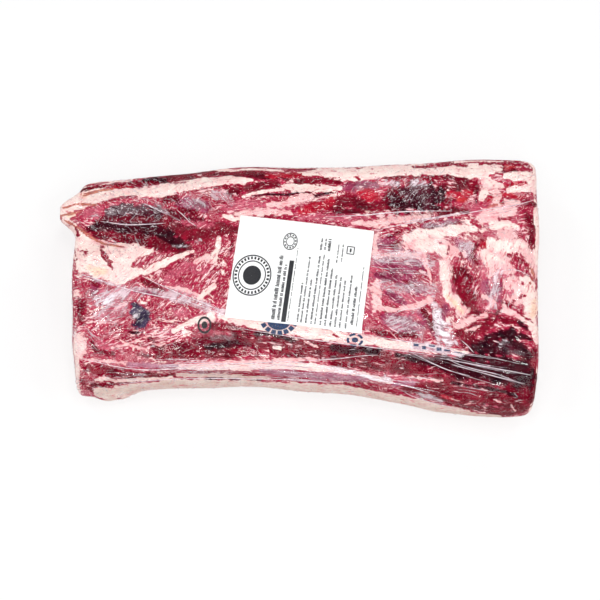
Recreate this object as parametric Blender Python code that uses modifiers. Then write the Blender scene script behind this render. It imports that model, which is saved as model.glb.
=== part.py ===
"""A whole boneless beef striploin, vacuum packed in a tight clear bag, with a paper label on top.

The pack lies fat side down. X runs along the loin towards its wide end, Y across it towards the
back, Z up, and the origin is on the floor under the middle of the pack. Units are metres.

Both pieces are solids: the bag with the beef that it is drawn tight on, and the paper label.
"""

import bpy
import numpy as np

# Driving dimensions of the pack.
BODY_LEFT = -0.210  # cut face at the narrow end
BODY_RIGHT = 0.221  # cut face at the wide end
FLOOR_SINK = 0.003  # how far the round belly is pressed flat by its own weight
BACK_DROP = 0.15  # share of the height that the back loses against the front
RIGHT_SLANT = 0.05  # the wide end is cut at a slant: its reach along x per metre across
SLANT_START = 0.092  # where along x that slant sets in

# The plan's two long edges, as points (x, y), and the height of the crown, as points (x, z).
BACK_EDGE = (
    (-0.210, 0.104), (-0.150, 0.107), (-0.085, 0.115), (0.020, 0.116), (0.110, 0.122), (0.165, 0.127),
    (0.221, 0.128),
)
FRONT_EDGE = (
    (-0.210, -0.108), (-0.130, -0.095), (-0.070, -0.094), (0.020, -0.100), (0.090, -0.108), (0.150, -0.123),
    (0.221, -0.128),
)
CROWN = ((-0.210, 0.073), (-0.130, 0.077), (-0.030, 0.079), (0.070, 0.078), (0.221, 0.073))

# Superellipse powers: a higher one makes a squarer corner.
TOP_POWER = 3.3  # shoulders of a section
BELLY_POWER = 4.6  # lower corners of a section
PLAN_POWER = 26.0  # corners of the plan
END_POWER = 9.0  # rounding of the ends in side view

# The paper label.
LABEL_LENGTH = 0.125
LABEL_WIDTH = 0.104
LABEL_TURN = np.radians(-7.3)
LABEL_CENTRE = (0.0003, -0.0060)
LABEL_THICKNESS = 0.0003
LABEL_GAP = 0.0004
LABEL_EASE = (0.002, 0.016)  # distances from the label between which the relief comes back

# Where relief counts. A section's place is given from -1 to 1, across it and up it.
TOP_ZONE = (0.25, 0.85)  # up: relief of the top grows between these
SIDE_ZONE = (0.55, 0.95)  # across: relief of the front and the back grows between these
BELLY_ZONE = (-0.98, -0.70)  # up: no relief below the first, all of it above the second
END_ZONE = (0.001, 0.012)  # distance from a cut face: all relief within the first, none past the second

# Facets: rings along the straight stretch, points round a section, and the rings that round the ends.
CELLS_ALONG = 54
POINTS_ROUND = 68
END_MARGIN = 0.016
END_STEPS = (0.0105, 0.0066, 0.0038, 0.0019, 0.0007, 0.0001)
CAP_SCALES = (0.72, 0.44, 0.18)
TOP_SPACING = (0.75, 1.0)  # above this share of the height, this density of points
SIDE_DENSITY = 0.95
BELLY_SPACING = (-0.80, 0.30)  # below this share of the height, this density
SPACING_HALF_WIDTH, SPACING_HALF_HEIGHT = 0.105, 0.040  # the section that the points are spaced on
SPACING_SAMPLES = 8001
LABEL_CELLS = (22, 18)

# Long rolls and hollows of the top: name, path in plan (x, y), half width, height.
TOP_RIDGES = (
    ("back fat roll", ((-0.188, 0.068), (-0.118, 0.084), (-0.043, 0.092), (0.002, 0.096)), 0.009, 0.0040),
    ("far fat roll", ((0.012, 0.098), (0.092, 0.100), (0.192, 0.102)), 0.008, 0.0025),
    ("rib finger", ((-0.053, 0.076), (0.012, 0.077), (0.062, 0.082)), 0.008, 0.0025),
    ("chine hollow", ((-0.188, 0.036), (-0.138, 0.040), (-0.083, 0.028)), 0.014, -0.0062),
    ("rib hollow", ((0.032, 0.070), (0.092, 0.070), (0.147, 0.071)), 0.013, -0.0060),
    ("near chine roll", ((-0.193, 0.010), (-0.148, 0.012)), 0.013, 0.0042),
    (
        "slanting bag fold",
        ((-0.170, 0.010), (-0.126, -0.008), (-0.078, -0.034), (-0.064, -0.044)),
        0.006,
        0.0026,
    ),
    ("long bag fold", ((-0.064, -0.046), (0.002, -0.058), (0.062, -0.070), (0.127, -0.082)), 0.007, 0.0034),
    ("front hollow", ((-0.093, -0.070), (-0.028, -0.078), (0.042, -0.090)), 0.009, -0.0036),
    ("near front roll", ((-0.188, -0.078), (-0.108, -0.086)), 0.011, 0.0028),
    ("sirloin seam", ((0.120, 0.024), (0.130, -0.010), (0.136, -0.044)), 0.008, 0.0030),
    ("sirloin hollow", ((0.148, 0.044), (0.168, 0.012), (0.178, -0.030)), 0.011, -0.0044),
    ("bark hollow", ((0.072, 0.026), (0.100, 0.020)), 0.014, -0.0024),
    ("far end roll", ((0.167, 0.070), (0.207, 0.062)), 0.010, 0.0030),
    ("far end lobe", ((0.194, 0.030), (0.202, -0.010)), 0.014, 0.0036),
    ("near corner hollow", ((0.152, -0.072), (0.207, -0.090)), 0.010, -0.0034),
)

# The same for the upright faces. Paths on the front and the back are (x, z), on the ends (y, z).
FRONT_RIDGES = (
    (
        "front seam",
        ((-0.198, 0.040), (-0.118, 0.044), (0.002, 0.043), (0.082, 0.040), (0.152, 0.032)),
        0.0065,
        -0.0052,
    ),
    ("fat cap roll", ((-0.148, 0.020), (0.002, 0.020), (0.122, 0.016)), 0.014, 0.0026),
    ("upper roll", ((-0.198, 0.058), (-0.038, 0.060), (0.162, 0.056)), 0.010, 0.0020),
    ("bag ear by the belly", ((-0.176, 0.010), (-0.166, 0.008)), 0.013, 0.0085),
)
BACK_RIDGES = (
    ("back seam", ((-0.188, 0.036), (-0.058, 0.033), (0.082, 0.036), (0.192, 0.034)), 0.0065, -0.0042),
    ("back fat roll", ((-0.158, 0.018), (0.162, 0.018)), 0.013, 0.0022),
)
LEFT_RIDGES = (
    ("bag ear by the chine", ((0.064, 0.048), (0.073, 0.052)), 0.012, 0.0172),
    ("rim of the eye", ((-0.070, 0.030), (0.000, 0.022), (0.060, 0.028)), 0.008, -0.0020),
    ("cut back corner", ((-0.108, 0.025), (-0.096, 0.055)), 0.022, -0.0050),
)
RIGHT_RIDGES = (("rim of the eye", ((-0.090, 0.028), (0.000, 0.020), (0.080, 0.028)), 0.009, -0.0020),)

# Slow lumps over the whole loin: wave numbers along x, y, z in 1/m, phase, height.
LUMPS = (
    ((31.0, 17.0, 0.0), 0.4, 0.00055),
    ((-19.0, 43.0, 25.0), 2.1, 0.00060),
    ((57.0, -28.0, 40.0), 4.4, 0.00045),
    ((83.0, 61.0, -30.0), 1.3, 0.00030),
    ((-70.0, 95.0, 55.0), 3.2, 0.00025),
)

BAG_COLOUR = (0.42, 0.035, 0.060, 1.0)
BAG_ROUGHNESS = 0.18
PAPER_COLOUR = (0.88, 0.88, 0.87, 1.0)
PAPER_ROUGHNESS = 0.55


def smooth_step(low, high, value):
    """0 below low, 1 above high, and a smooth cubic rise between them."""
    share = np.clip((value - low) / (high - low), 0.0, 1.0)
    return share * share * (3.0 - 2.0 * share)


def smooth_curve(x, points):
    """Height at x of the cubic curve through the points, whose slope at each is that of its neighbours."""
    knots, values = np.array(points).T
    slopes = np.gradient(values, knots)
    x = np.clip(x, knots[0], knots[-1])
    i = np.clip(np.searchsorted(knots, x, side="right") - 1, 0, len(knots) - 2)
    span = knots[i + 1] - knots[i]
    t = (x - knots[i]) / span
    return (
        (2 * t**3 - 3 * t**2 + 1) * values[i]
        + (t**3 - 2 * t**2 + t) * span * slopes[i]
        + (3 * t**2 - 2 * t**3) * values[i + 1]
        + (t**3 - t**2) * span * slopes[i + 1]
    )


def distance_to_path(p, q, path):
    """Shortest distance in a plane from the points (p, q) to a line through the path's points."""
    nearest = np.full(np.shape(p), np.inf)
    for start, end in zip(path[:-1], path[1:], strict=True):
        run_p, run_q = end[0] - start[0], end[1] - start[1]
        along = ((p - start[0]) * run_p + (q - start[1]) * run_q) / (run_p**2 + run_q**2)
        along = np.clip(along, 0.0, 1.0)
        gap = np.hypot(p - start[0] - along * run_p, q - start[1] - along * run_q)
        nearest = np.minimum(nearest, gap)
    return nearest


def relief(p, q, ridges):
    """Sum of rounded ridges: each has the height of a bell curve over the distance to its path."""
    total = np.zeros(np.shape(p))
    for _, path, half_width, height in ridges:
        total += height * np.exp(-((distance_to_path(p, q, path) / half_width) ** 2))
    return total


def lumps(x, y, z):
    """Sum of slow sine waves through space."""
    total = np.zeros(np.shape(x))
    for (along, across, up), phase, height in LUMPS:
        total += height * np.sin(along * x + across * y + up * z + phase)
    return total


def section(x):
    """Middle, half width and height of the section at x, from the two long edges and the crown."""
    back = smooth_curve(x, BACK_EDGE)
    front = smooth_curve(x, FRONT_EDGE)
    return (back + front) / 2, (back - front) / 2, smooth_curve(x, CROWN)


def end_scales(x):
    """How much a section has shrunk at x, in width and in height, as the plan and side views round off."""
    middle, reach = (BODY_LEFT + BODY_RIGHT) / 2, (BODY_RIGHT - BODY_LEFT) / 2
    share = np.clip(np.abs(x - middle) / reach, 0.0, 1.0)
    width = (1.0 - share**PLAN_POWER) ** (1.0 / PLAN_POWER)
    height = (1.0 - share**END_POWER) ** (1.0 / END_POWER)
    return width, height


def beside_label(x, y):
    """0 under the label and 1 well away from it."""
    cos, sin = np.cos(LABEL_TURN), np.sin(LABEL_TURN)
    from_x, from_y = x - LABEL_CENTRE[0], y - LABEL_CENTRE[1]
    out = np.hypot(
        np.maximum(np.abs(from_x * cos + from_y * sin) - LABEL_LENGTH / 2, 0.0),
        np.maximum(np.abs(from_y * cos - from_x * sin) - LABEL_WIDTH / 2, 0.0),
    )
    return smooth_step(*LABEL_EASE, out)


def surface(x, turn, scale):
    """Points of the pack at x, at the angle turn round the section, with the section shrunk by scale.

    A section is a superellipse with one power above its middle and another below. The back is lower
    than the front, the belly is cut flat at the floor, and the relief is added up on the top and
    outwards on the four upright faces.
    """
    middle, half_width, height = section(x)
    shrink_width, shrink_height = end_scales(x)
    half_height = (height + FLOOR_SINK) / 2 * shrink_height * scale
    cos, sin = np.cos(turn), np.sin(turn)
    power = np.where(sin > 0, TOP_POWER, BELLY_POWER)
    across = np.sign(cos) * np.abs(cos) ** (2.0 / power)
    up = np.sign(sin) * np.abs(sin) ** (2.0 / power)
    drop = np.where(sin > 0, 1.0 - BACK_DROP * (0.5 + 0.5 * across), 1.0)
    y = middle + half_width * shrink_width * scale * across
    z = (height - FLOOR_SINK) / 2 + half_height * up * drop

    upper = smooth_step(*TOP_ZONE, up)
    above_belly = smooth_step(*BELLY_ZONE, up)
    front = smooth_step(*SIDE_ZONE, -across) * above_belly * scale
    back = smooth_step(*SIDE_ZONE, across) * above_belly * scale
    left = 1.0 - smooth_step(*END_ZONE, x - BODY_LEFT)
    right = 1.0 - smooth_step(*END_ZONE, BODY_RIGHT - x)
    swell = lumps(x, y, z) * above_belly
    top = relief(x, y, TOP_RIDGES) * beside_label(x, y) * np.minimum(shrink_height, scale)
    slant = RIGHT_SLANT * smooth_step(SLANT_START, BODY_RIGHT, x)
    out_x = right * (relief(y, z, RIGHT_RIDGES) + swell) - left * (relief(y, z, LEFT_RIDGES) + swell)
    out_y = back * (relief(x, z, BACK_RIDGES) + swell) - front * (relief(x, z, FRONT_RIDGES) + swell)
    raised = z + upper * (top + swell * scale)
    return np.stack([x + slant * (y - middle) + out_x, y + out_y, np.maximum(raised, 0.0)], axis=-1)


def top_height(x, y):
    """Height of the pack's top over a plan point well inside the outline."""
    middle, half_width, height = section(x)
    shrink_width, shrink_height = end_scales(x)
    across = (y - middle) / (half_width * shrink_width)
    up = (1.0 - np.abs(across) ** TOP_POWER) ** (1.0 / TOP_POWER)
    drop = 1.0 - BACK_DROP * (0.5 + 0.5 * across)
    z = (height - FLOOR_SINK) / 2 + (height + FLOOR_SINK) / 2 * shrink_height * up * drop
    top = relief(x, y, TOP_RIDGES) * beside_label(x, y) * shrink_height
    return z + smooth_step(*TOP_ZONE, up) * (top + lumps(x, y, z))


def rings_along():
    """The x and the scale of each ring: even in the middle, close at the ends, then the caps."""
    straight = np.linspace(BODY_LEFT + END_MARGIN, BODY_RIGHT - END_MARGIN, CELLS_ALONG + 1)
    steps = np.array(END_STEPS)
    caps = np.array(CAP_SCALES)
    ends = np.full(len(caps), END_STEPS[-1])
    x = np.concatenate(
        [BODY_LEFT + ends, (BODY_LEFT + steps)[::-1], straight, BODY_RIGHT - steps, BODY_RIGHT - ends]
    )
    whole = np.ones(len(straight) + 2 * len(steps))
    return x, np.concatenate([caps[::-1], whole, caps])


def turns_round():
    """Angles round a section, spaced by arc length and closer on the top and the sides than below."""
    turn = np.linspace(0.0, 2 * np.pi, SPACING_SAMPLES)
    power = np.where(np.sin(turn) > 0, TOP_POWER, BELLY_POWER)
    across = np.sign(np.cos(turn)) * np.abs(np.cos(turn)) ** (2.0 / power)
    up = np.sign(np.sin(turn)) * np.abs(np.sin(turn)) ** (2.0 / power)
    step = np.hypot(np.diff(across) * SPACING_HALF_WIDTH, np.diff(up) * SPACING_HALF_HEIGHT)
    height = (up[1:] + up[:-1]) / 2
    density = np.where(height > BELLY_SPACING[0], SIDE_DENSITY, BELLY_SPACING[1])
    density = np.where(height > TOP_SPACING[0], TOP_SPACING[1], density)
    run = np.concatenate([[0.0], np.cumsum(step * density)])
    return np.interp(np.arange(POINTS_ROUND) / POINTS_ROUND * run[-1], run, turn)


def finish(name, mesh, colour, roughness, collection):
    """Puts the mesh in the scene as one smooth-shaded object with a plain material."""
    made = bpy.data.objects.new(name, mesh)
    material = bpy.data.materials.new(name + "_material")
    material.use_nodes = True
    shader = material.node_tree.nodes["Principled BSDF"]
    shader.inputs["Base Color"].default_value = colour
    shader.inputs["Roughness"].default_value = roughness
    shader.inputs["Metallic"].default_value = 0.0
    mesh.materials.append(material)
    mesh.shade_smooth()
    collection.objects.link(made)
    return made


def make_bag(collection):
    """The vacuum bag with its beef: rings of points round the sections, joined into one closed skin."""
    x, scale = rings_along()
    turn = turns_round()
    rings = surface(
        np.repeat(x[:, None], len(turn), axis=1),
        np.repeat(turn[None, :], len(x), axis=0),
        np.repeat(scale[:, None], len(turn), axis=1),
    )
    poles = rings[[0, -1]].mean(axis=1)
    points = np.concatenate([rings.reshape(-1, 3), poles])

    count = len(turn)
    ring, point = np.meshgrid(np.arange(len(x) - 1) * count, np.arange(count), indexing="ij")
    following = (point + 1) % count
    corners = [ring + point, ring + following, ring + count + following, ring + count + point]
    quads = np.stack(corners, axis=-1).reshape(-1, 4)
    last = (len(x) - 1) * count
    near = np.arange(count)
    after = (near + 1) % count
    left_pole, right_pole = len(points) - 2, len(points) - 1
    left_fan = np.stack([np.full(count, left_pole), after, near], axis=1)
    right_fan = np.stack([np.full(count, right_pole), last + near, last + after], axis=1)

    mesh = bpy.data.meshes.new("vacuum_bag")
    mesh.from_pydata(points.tolist(), [], quads.tolist() + left_fan.tolist() + right_fan.tolist())
    finish("vacuum_bag", mesh, BAG_COLOUR, BAG_ROUGHNESS, collection)


def make_label(collection):
    """The paper label: a grid laid over the top, given its thickness upwards."""
    cells_long, cells_wide = LABEL_CELLS
    along, across = np.meshgrid(
        np.linspace(-0.5, 0.5, cells_long + 1) * LABEL_LENGTH,
        np.linspace(-0.5, 0.5, cells_wide + 1) * LABEL_WIDTH,
        indexing="ij",
    )
    cos, sin = np.cos(LABEL_TURN), np.sin(LABEL_TURN)
    x = LABEL_CENTRE[0] + along * cos - across * sin
    y = LABEL_CENTRE[1] + along * sin + across * cos
    points = np.stack([x, y, top_height(x, y) + LABEL_GAP], axis=-1).reshape(-1, 3)
    row, column = np.meshgrid(np.arange(cells_long), np.arange(cells_wide), indexing="ij")
    corner = row * (cells_wide + 1) + column
    quads = np.stack([corner, corner + cells_wide + 1, corner + cells_wide + 2, corner + 1], axis=-1)
    mesh = bpy.data.meshes.new("label")
    mesh.from_pydata(points.tolist(), [], quads.reshape(-1, 4).tolist())
    label = finish("label", mesh, PAPER_COLOUR, PAPER_ROUGHNESS, collection)
    paper = label.modifiers.new("paper", "SOLIDIFY")
    paper.thickness = LABEL_THICKNESS
    paper.offset = 1.0


def main():
    for old in list(bpy.data.objects):
        bpy.data.objects.remove(old)
    collection = bpy.data.collections.new("beef_striploin")
    bpy.context.scene.collection.children.link(collection)
    make_bag(collection)
    make_label(collection)


main()
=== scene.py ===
"""Vacuum packed beef striploin: marbled beef, the clear film drawn tight on it, and a printed paper label.

Every piece is a surface worked out on a grid, in metres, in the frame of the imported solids.
"""

import bpy
import numpy as np
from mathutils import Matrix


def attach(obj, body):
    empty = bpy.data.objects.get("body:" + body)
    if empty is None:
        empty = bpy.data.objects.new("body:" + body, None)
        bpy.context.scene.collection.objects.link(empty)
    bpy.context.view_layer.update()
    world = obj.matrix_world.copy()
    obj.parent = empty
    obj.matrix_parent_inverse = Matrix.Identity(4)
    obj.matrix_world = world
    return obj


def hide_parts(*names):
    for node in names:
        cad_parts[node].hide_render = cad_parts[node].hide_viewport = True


bl_info = {
    "name": "Vacuum Packed Striploin",
    "version": (1, 0, 0),
    "blender": (4, 5, 0),
    "location": "View3D > Sidebar > Striploin",
    "description": "Builds a vacuum packed beef striploin round its packed solids",
    "category": "Add Mesh",
}

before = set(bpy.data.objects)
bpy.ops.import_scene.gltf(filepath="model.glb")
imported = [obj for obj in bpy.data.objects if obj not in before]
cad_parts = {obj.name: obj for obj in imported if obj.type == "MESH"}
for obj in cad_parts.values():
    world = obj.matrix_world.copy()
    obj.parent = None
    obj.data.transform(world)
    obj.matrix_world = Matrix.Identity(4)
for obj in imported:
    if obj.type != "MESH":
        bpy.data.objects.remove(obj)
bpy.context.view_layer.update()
MM = 0.001

# The pack's form, as in its solids.
BODY_LEFT, BODY_RIGHT = -0.210, 0.221
FLOOR_SINK = 0.003
BACK_DROP = 0.15
RIGHT_SLANT, SLANT_START = 0.05, 0.092
BACK_EDGE = (
    (-0.210, 0.104), (-0.150, 0.107), (-0.085, 0.115), (0.020, 0.116), (0.110, 0.122), (0.165, 0.127),
    (0.221, 0.128),
)
FRONT_EDGE = (
    (-0.210, -0.108), (-0.130, -0.095), (-0.070, -0.094), (0.020, -0.100), (0.090, -0.108), (0.150, -0.123),
    (0.221, -0.128),
)
CROWN = ((-0.210, 0.073), (-0.130, 0.077), (-0.030, 0.079), (0.070, 0.078), (0.221, 0.073))
TOP_POWER, BELLY_POWER, PLAN_POWER, END_POWER = 3.3, 4.6, 26.0, 9.0
TOP_ZONE, SIDE_ZONE, BELLY_ZONE, END_ZONE = (0.25, 0.85), (0.55, 0.95), (-0.98, -0.70), (0.001, 0.012)
LABEL_LENGTH, LABEL_WIDTH = 0.125, 0.104
LABEL_TURN = np.radians(-7.3)
LABEL_CENTRE = (0.0003, -0.0060)
LABEL_THICKNESS, LABEL_GAP = 0.0003, 0.0004
LABEL_EASE = (0.002, 0.016)

# Rolls and hollows: path, half width, height. Top paths are (x, y), front and back (x, z), ends (y, z).
TOP_RIDGES = (
    (((-0.188, 0.068), (-0.118, 0.084), (-0.043, 0.092), (0.002, 0.096)), 0.009, 0.0040),
    (((0.012, 0.098), (0.092, 0.100), (0.192, 0.102)), 0.008, 0.0025),
    (((-0.053, 0.076), (0.012, 0.077), (0.062, 0.082)), 0.008, 0.0025),
    (((-0.188, 0.036), (-0.138, 0.040), (-0.083, 0.028)), 0.014, -0.0062),
    (((0.032, 0.070), (0.092, 0.070), (0.147, 0.071)), 0.013, -0.0060),
    (((-0.193, 0.010), (-0.148, 0.012)), 0.013, 0.0042),
    (((-0.170, 0.010), (-0.126, -0.008), (-0.078, -0.034), (-0.064, -0.044)), 0.006, 0.0026),
    (((-0.064, -0.046), (0.002, -0.058), (0.062, -0.070), (0.127, -0.082)), 0.007, 0.0034),
    (((-0.093, -0.070), (-0.028, -0.078), (0.042, -0.090)), 0.009, -0.0036),
    (((-0.188, -0.078), (-0.108, -0.086)), 0.011, 0.0028),
    (((0.120, 0.024), (0.130, -0.010), (0.136, -0.044)), 0.008, 0.0030),
    (((0.148, 0.044), (0.168, 0.012), (0.178, -0.030)), 0.011, -0.0044),
    (((0.072, 0.026), (0.100, 0.020)), 0.014, -0.0024),
    (((0.167, 0.070), (0.207, 0.062)), 0.010, 0.0030),
    (((0.194, 0.030), (0.202, -0.010)), 0.014, 0.0036),
    (((0.152, -0.072), (0.207, -0.090)), 0.010, -0.0034),
)
FRONT_RIDGES = (
    (((-0.198, 0.040), (-0.118, 0.044), (0.002, 0.043), (0.082, 0.040), (0.152, 0.032)), 0.0065, -0.0052),
    (((-0.148, 0.020), (0.002, 0.020), (0.122, 0.016)), 0.014, 0.0026),
    (((-0.198, 0.058), (-0.038, 0.060), (0.162, 0.056)), 0.010, 0.0020),
    (((-0.176, 0.010), (-0.166, 0.008)), 0.013, 0.0085),
)
BACK_RIDGES = (
    (((-0.188, 0.036), (-0.058, 0.033), (0.082, 0.036), (0.192, 0.034)), 0.0065, -0.0042),
    (((-0.158, 0.018), (0.162, 0.018)), 0.013, 0.0022),
)
LEFT_RIDGES = (
    (((0.064, 0.048), (0.073, 0.052)), 0.012, 0.0172),
    (((-0.070, 0.030), (0.000, 0.022), (0.060, 0.028)), 0.008, -0.0020),
    (((-0.108, 0.025), (-0.096, 0.055)), 0.022, -0.0050),
)
RIGHT_RIDGES = ((((-0.090, 0.028), (0.000, 0.020), (0.080, 0.028)), 0.009, -0.0020),)
LUMPS = (
    ((31.0, 17.0, 0.0), 0.4, 0.00055),
    ((-19.0, 43.0, 25.0), 2.1, 0.00060),
    ((57.0, -28.0, 40.0), 4.4, 0.00045),
    ((83.0, 61.0, -30.0), 1.3, 0.00030),
    ((-70.0, 95.0, 55.0), 3.2, 0.00025),
)

# The camera, and the chart: column and row of a surface point in its 600 by 600 view.
VIEW_ELEVATION = np.radians(66.0)
VIEW_DISTANCE = 1.8
VIEW_TARGET = np.array([0.0, 0.0, 0.040])
VIEW_PIXEL = 0.000936  # metres a pixel at the target
VIEW_MIDDLE = (299.85, 283.05)  # where the target lies in the view
VIEW_SIZE = 600
VIEW_DIRECTION = np.array([0.0, -np.cos(VIEW_ELEVATION), np.sin(VIEW_ELEVATION)])
CHART_FACING = (0.02, 0.16)  # how far a face turns to the view before the chart's patches cover it

# The beef's patches, in the order in which they are laid. A path gives column, row and half width, point by
# point, in the chart.
WINE = {
    "chine": (92, 228, 6, 112, 224, 12, 130, 223, 15, 150, 224, 18, 168, 226, 17),
    "chine far": (168, 224, 17, 182, 225, 13, 196, 226, 8, 210, 226, 4, 232, 229, 3),
    "chine foot": (176, 244, 8, 186, 250, 6),
    "back edge": (150, 181, 2, 170, 178, 3, 214, 173, 2, 288, 178, 3),
    "rib row": (228, 189, 3, 246, 187, 3, 262, 186, 3),
    "rib lens": (334, 212, 1.5, 347, 211, 2.5, 356, 211, 2.5, 364, 212, 1),
    "rib": (386, 200, 9, 400, 198, 12, 416, 197, 14, 432, 198, 13, 448, 193, 9, 470, 188, 7),
    "rib hollow": (326, 207, 2, 340, 205, 2.4, 376, 206, 2.4, 386, 206, 4),
    "corner": (464, 342, 5, 482, 344, 8, 500, 345, 11, 516, 350, 10, 528, 362, 9),
    "fan": (396, 355, 3, 420, 359, 5, 445, 366, 10, 475, 372, 15, 505, 376, 17, 528, 378, 14),
    "near corner": (418, 388, 6, 450, 393, 10, 480, 395, 13, 510, 397, 14, 528, 392, 12),
    "front lean": (200, 342, 6, 236, 343, 8, 270, 344, 8, 310, 348, 8, 350, 353, 9),
    "front lean far": (350, 354, 11, 390, 360, 9, 425, 364, 7),
    "lower left": (160, 350, 5, 185, 350, 8),
    "seam": (461, 272, 4, 464, 284, 6, 470, 298, 5),
}
ROSE = {
    "chine end": (84, 214, 4, 92, 213, 6, 98, 211, 5),
    "beside the chine": (176, 222, 3, 195, 224, 3, 212, 227, 4),
    "over the rib": (224, 208, 4, 240, 207, 6, 262, 207, 6, 286, 208, 5),
    "rib finger": (300, 214, 5, 318, 216, 4, 340, 219, 4, 360, 221, 6, 374, 222, 5),
    "film window": (104, 298, 10, 120, 293, 9, 134, 292, 6),
    "film window near": (100, 314, 7, 113, 312, 6, 122, 307, 5),
    "beside the label": (371, 238, 5, 374, 262, 6, 375, 290, 8, 373, 312, 7),
    "sirloin tip": (392, 244, 8, 380, 252, 6),
    "sirloin middle": (374, 286, 7, 390, 296, 7, 410, 304, 7, 428, 298, 6),
    "sirloin lower": (388, 322, 8, 404, 320, 9, 418, 322, 7),
    "sirloin fat": (420, 245, 12, 445, 247, 12, 446, 275, 9, 452, 305, 8),
    "far rim": (496, 204, 5, 484, 207, 4, 470, 208, 4, 500, 236, 3, 484, 232, 3),
    "far fat": (490, 216, 8, 512, 212, 8, 500, 240, 9, 492, 260, 10, 516, 284, 12, 512, 308, 8),
    "front roll": (382, 372, 4, 398, 375, 4, 414, 379, 3),
    "near corner": (480, 389, 3, 494, 392, 3, 474, 404, 3, 496, 405, 3, 514, 409, 2.5),
    "eye foot": (212, 318, 6, 195, 321, 5, 180, 327, 4, 164, 332, 4),
    "front fold": (180, 364, 2.5, 220, 365, 4, 260, 367, 4, 330, 368, 4),
    "eye": (168, 277, 5, 184, 268, 5, 198, 268, 5, 208, 272, 3),
    "eye low": (158, 284, 3, 174, 288, 5, 190, 292, 5, 202, 296, 3),
    "eye near": (172, 312, 3, 186, 314, 4),
    "left low": (96, 344, 4, 112, 347, 4, 126, 344, 3),
    "right": (482, 262, 5, 486, 280, 5, 488, 302, 6, 500, 312, 5),
}
PLUM = {
    "window edge": (92, 276, 3, 96, 284, 5, 94, 292, 4),
    "sirloin": (376, 244, 5, 392, 242, 7, 398, 252, 6, 380, 262, 6, 404, 268, 7, 422, 264, 7),
    "sirloin middle": (378, 276, 4, 392, 276, 6, 408, 281, 8, 418, 290, 6),
    "sirloin bar": (389, 292, 3, 398, 298, 4, 404, 303, 3),
    "sirloin foot": (386, 318, 6, 404, 322, 7, 420, 326, 6, 396, 332, 5),
    "seam top": (458, 244, 5, 468, 248, 5, 474, 258, 5),
    "right veins": (486, 284, 4, 488, 298, 4, 500, 284, 3, 498, 300, 3),
    "lobe": (180, 203, 6, 194, 205, 7, 206, 207, 5),
    "over the seam": (424, 226, 3, 440, 225, 4, 456, 222, 4),
    "under the fold": (136, 290, 3, 156, 294, 3),
    "glare edge": (424, 314, 5, 430, 322, 5, 436, 334, 4, 446, 307, 4),
    "rib": (344, 187, 4, 360, 185, 5, 376, 185, 4),
}
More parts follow.
